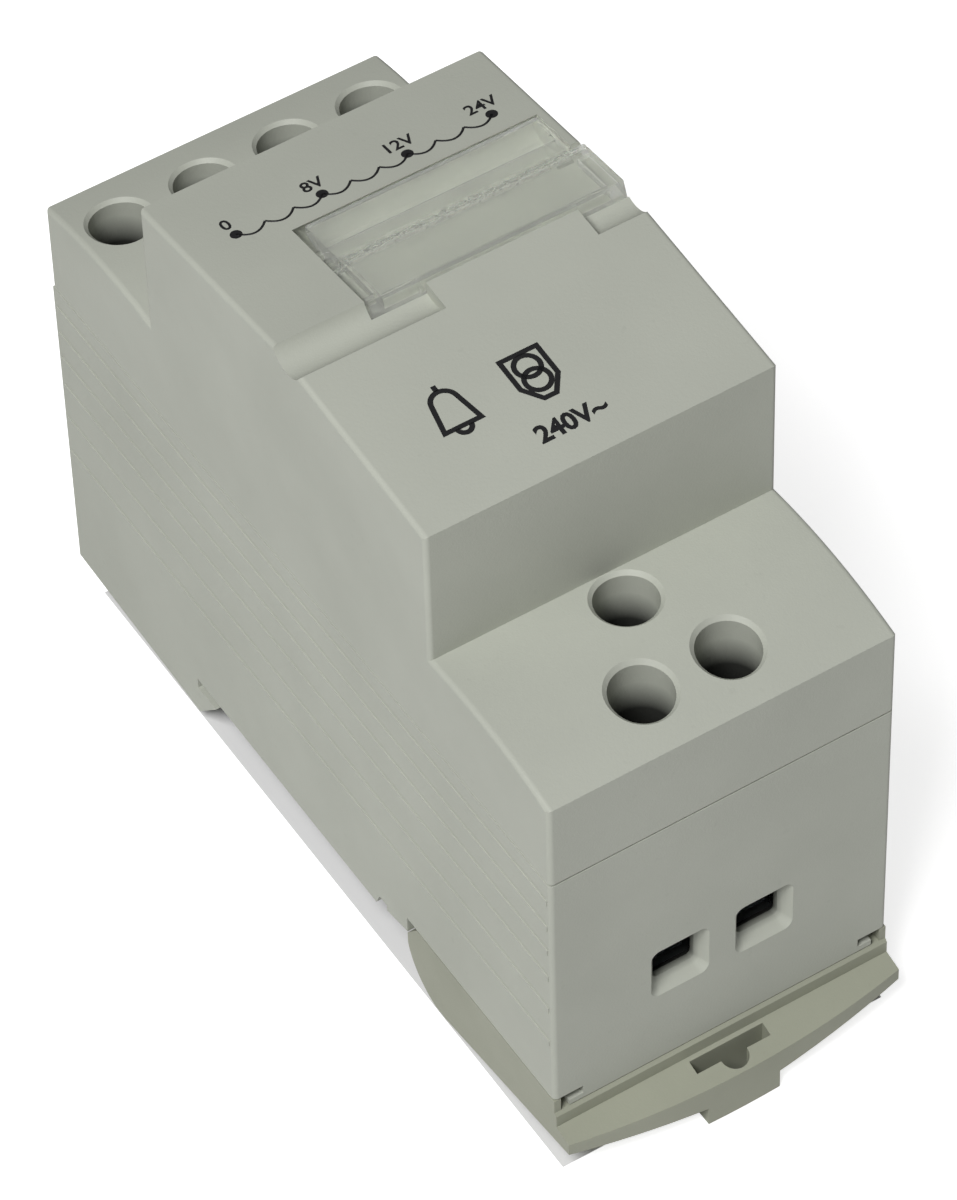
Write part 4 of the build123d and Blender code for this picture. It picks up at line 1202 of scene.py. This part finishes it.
@dataclass
class Studio:
    """Camera, light and floor.

    Attributes:
        camera_at: place of the camera in metres.
        right: the camera's right-hand direction.
        forward: the direction it looks in.
        lens: focal length for the sensor.
        sensor: width of the sensor in millimetres.
        lamp_at: place of the lamp in metres.
        lamp_size: side of the square lamp in metres.
        lamp_power: its power in watts.
        aim_height: height of the point that the lamp faces, in metres.
        room: strength of the even light from all round.
        glow: strength by which the floor is lifted to white for the camera.
        footprint: half sizes of the floor's patch under the object that isn't lifted, in metres.
        floor_grey: how much light the floor returns.
        floor_reach: half the floor's side in metres.
        floor_drop: how far the floor lies under the object, in metres.
    """

    camera_at: tuple[float, float, float] = (-0.206401, -0.343034, 0.49846)
    right: tuple[float, float, float] = (0.84324, -0.53712, -0.02124)
    forward: tuple[float, float, float] = (0.3342, 0.55479, -0.76192)
    lens: float = 202.374
    sensor: float = 36.0
    lamp_at: tuple[float, float, float] = (-0.41, -0.27, 0.735)
    lamp_size: float = 0.32
    lamp_power: float = 6.8
    aim_height: float = 0.035
    room: float = 0.13
    glow: float = 0.75
    footprint: tuple[float, float] = (0.0175, 0.041)
    floor_grey: float = 0.8
    floor_reach: float = 6.0
    floor_drop: float = 0.0002

    def build(self) -> None:
        """Make the camera, the lamp, the world and the floor."""
        self.camera()
        self.lamp()
        self.world()
        self.floor()
        bpy.context.scene.view_settings.view_transform = "Standard"

    def camera(self) -> None:
        """Make the camera at the photograph's viewing angle."""
        data = bpy.data.cameras.new("camera")
        data.lens = self.lens
        data.sensor_width = self.sensor
        camera = bpy.data.objects.new("camera", data)
        bpy.context.scene.collection.objects.link(camera)
        across = Vector(self.right).normalized()
        back = -Vector(self.forward).normalized()
        up = back.cross(across).normalized()
        turn = Matrix((across, up, back)).transposed().to_4x4()
        camera.matrix_world = Matrix.Translation(Vector(self.camera_at)) @ turn
        bpy.context.scene.camera = camera

    def lamp(self) -> None:
        """Make a soft square lamp that faces the object."""
        data = bpy.data.lights.new("key", "AREA")
        data.size = self.lamp_size
        data.energy = self.lamp_power
        lamp = bpy.data.objects.new("key", data)
        bpy.context.scene.collection.objects.link(lamp)
        aim = Vector((0.0, 0.0, self.aim_height)) - Vector(self.lamp_at)
        lamp.rotation_mode = "QUATERNION"
        lamp.rotation_quaternion = aim.to_track_quat("-Z", "Y")
        lamp.location = self.lamp_at

    def world(self) -> None:
        """Light the room evenly, and show it white to the camera."""
        world = bpy.data.worlds.new("room")
        bpy.context.scene.world = world
        world.use_nodes = True
        write = TreeWriter(world.node_tree)
        room = world.node_tree.nodes["Background"]
        room.inputs["Color"].default_value = (1.0, 1.0, 1.0, 1.0)
        path = write.add("ShaderNodeLightPath")
        strength = write.remap(path.outputs["Is Camera Ray"], results=(self.room, 1.0))
        write.link(strength, room.inputs["Strength"])

    def floor_paint(self) -> bpy.types.Material:
        """Make the pale floor's paint, which is lifted to white round the object.

        Returns:
            The material.
        """
        material = bpy.data.materials.new("floor_paint")
        material.use_nodes = True
        write = TreeWriter(material.node_tree)
        shader = material.node_tree.nodes["Principled BSDF"]
        shader.inputs["Base Color"].default_value = (*[self.floor_grey] * 3, 1.0)
        shader.inputs["Roughness"].default_value = 0.9
        shader.inputs["Specular IOR Level"].default_value = 0.0
        shader.inputs["Emission Color"].default_value = (1.0, 1.0, 1.0, 1.0)
        path = write.add("ShaderNodeLightPath")
        coordinates, split = write.add("ShaderNodeTexCoord"), write.add("ShaderNodeSeparateXYZ")
        write.wire((coordinates, "Object", split, "Vector"))
        outside = [
            write.math("GREATER_THAN", write.math("ABSOLUTE", split.outputs[axis]), half)
            for axis, half in zip("XY", self.footprint)
        ]
        seen = write.math("MULTIPLY", path.outputs["Is Camera Ray"], self.glow)
        lifted = write.math("MULTIPLY", seen, write.math("MAXIMUM", *outside))
        write.link(lifted, shader.inputs["Emission Strength"])
        return material

    def floor(self) -> None:
        """Lay the pale floor under the object."""
        reach = self.floor_reach
        mesh = bpy.data.meshes.new("floor")
        edge = [(-reach, -reach, 0), (reach, -reach, 0), (reach, reach, 0), (-reach, reach, 0)]
        mesh.from_pydata(edge, [], [(0, 1, 2, 3)])
        mesh.materials.append(self.floor_paint())
        floor = bpy.data.objects.new("floor", mesh)
        floor.location.z = -self.floor_drop
        bpy.context.scene.collection.objects.link(floor)


def main() -> None:
    """Build and dress every sub-assembly in order."""
    logging.basicConfig(level=logging.INFO, format="%(message)s")
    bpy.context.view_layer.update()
    shop = Workshop()
    plated = Metal("zinc_plate", (0.62, 0.65, 0.68), (0.22, 0.42), 0.08).make(shop)
    contact = Metal("tinned_contact", (0.66, 0.68, 0.68), (0.25, 0.4), 0.08).make(shop)
    ink = SmoothCoat("print_ink", (0.012, 0.012, 0.013), (0.4, 0.55), 0.15, 0.000004).make(shop)
    Housing().dress(shop, plated)
    RailClip().dress(shop)
    LabelFlap().dress()
    for row in (TerminalRow(End.SUPPLY, 2), TerminalRow(End.OUTPUT, 4)):
        row.dress(plated, contact)
    CoreAndCoil().dress(shop)
    Print().build(ink)
    Studio().build()


if __name__ == "__main__":
    main()
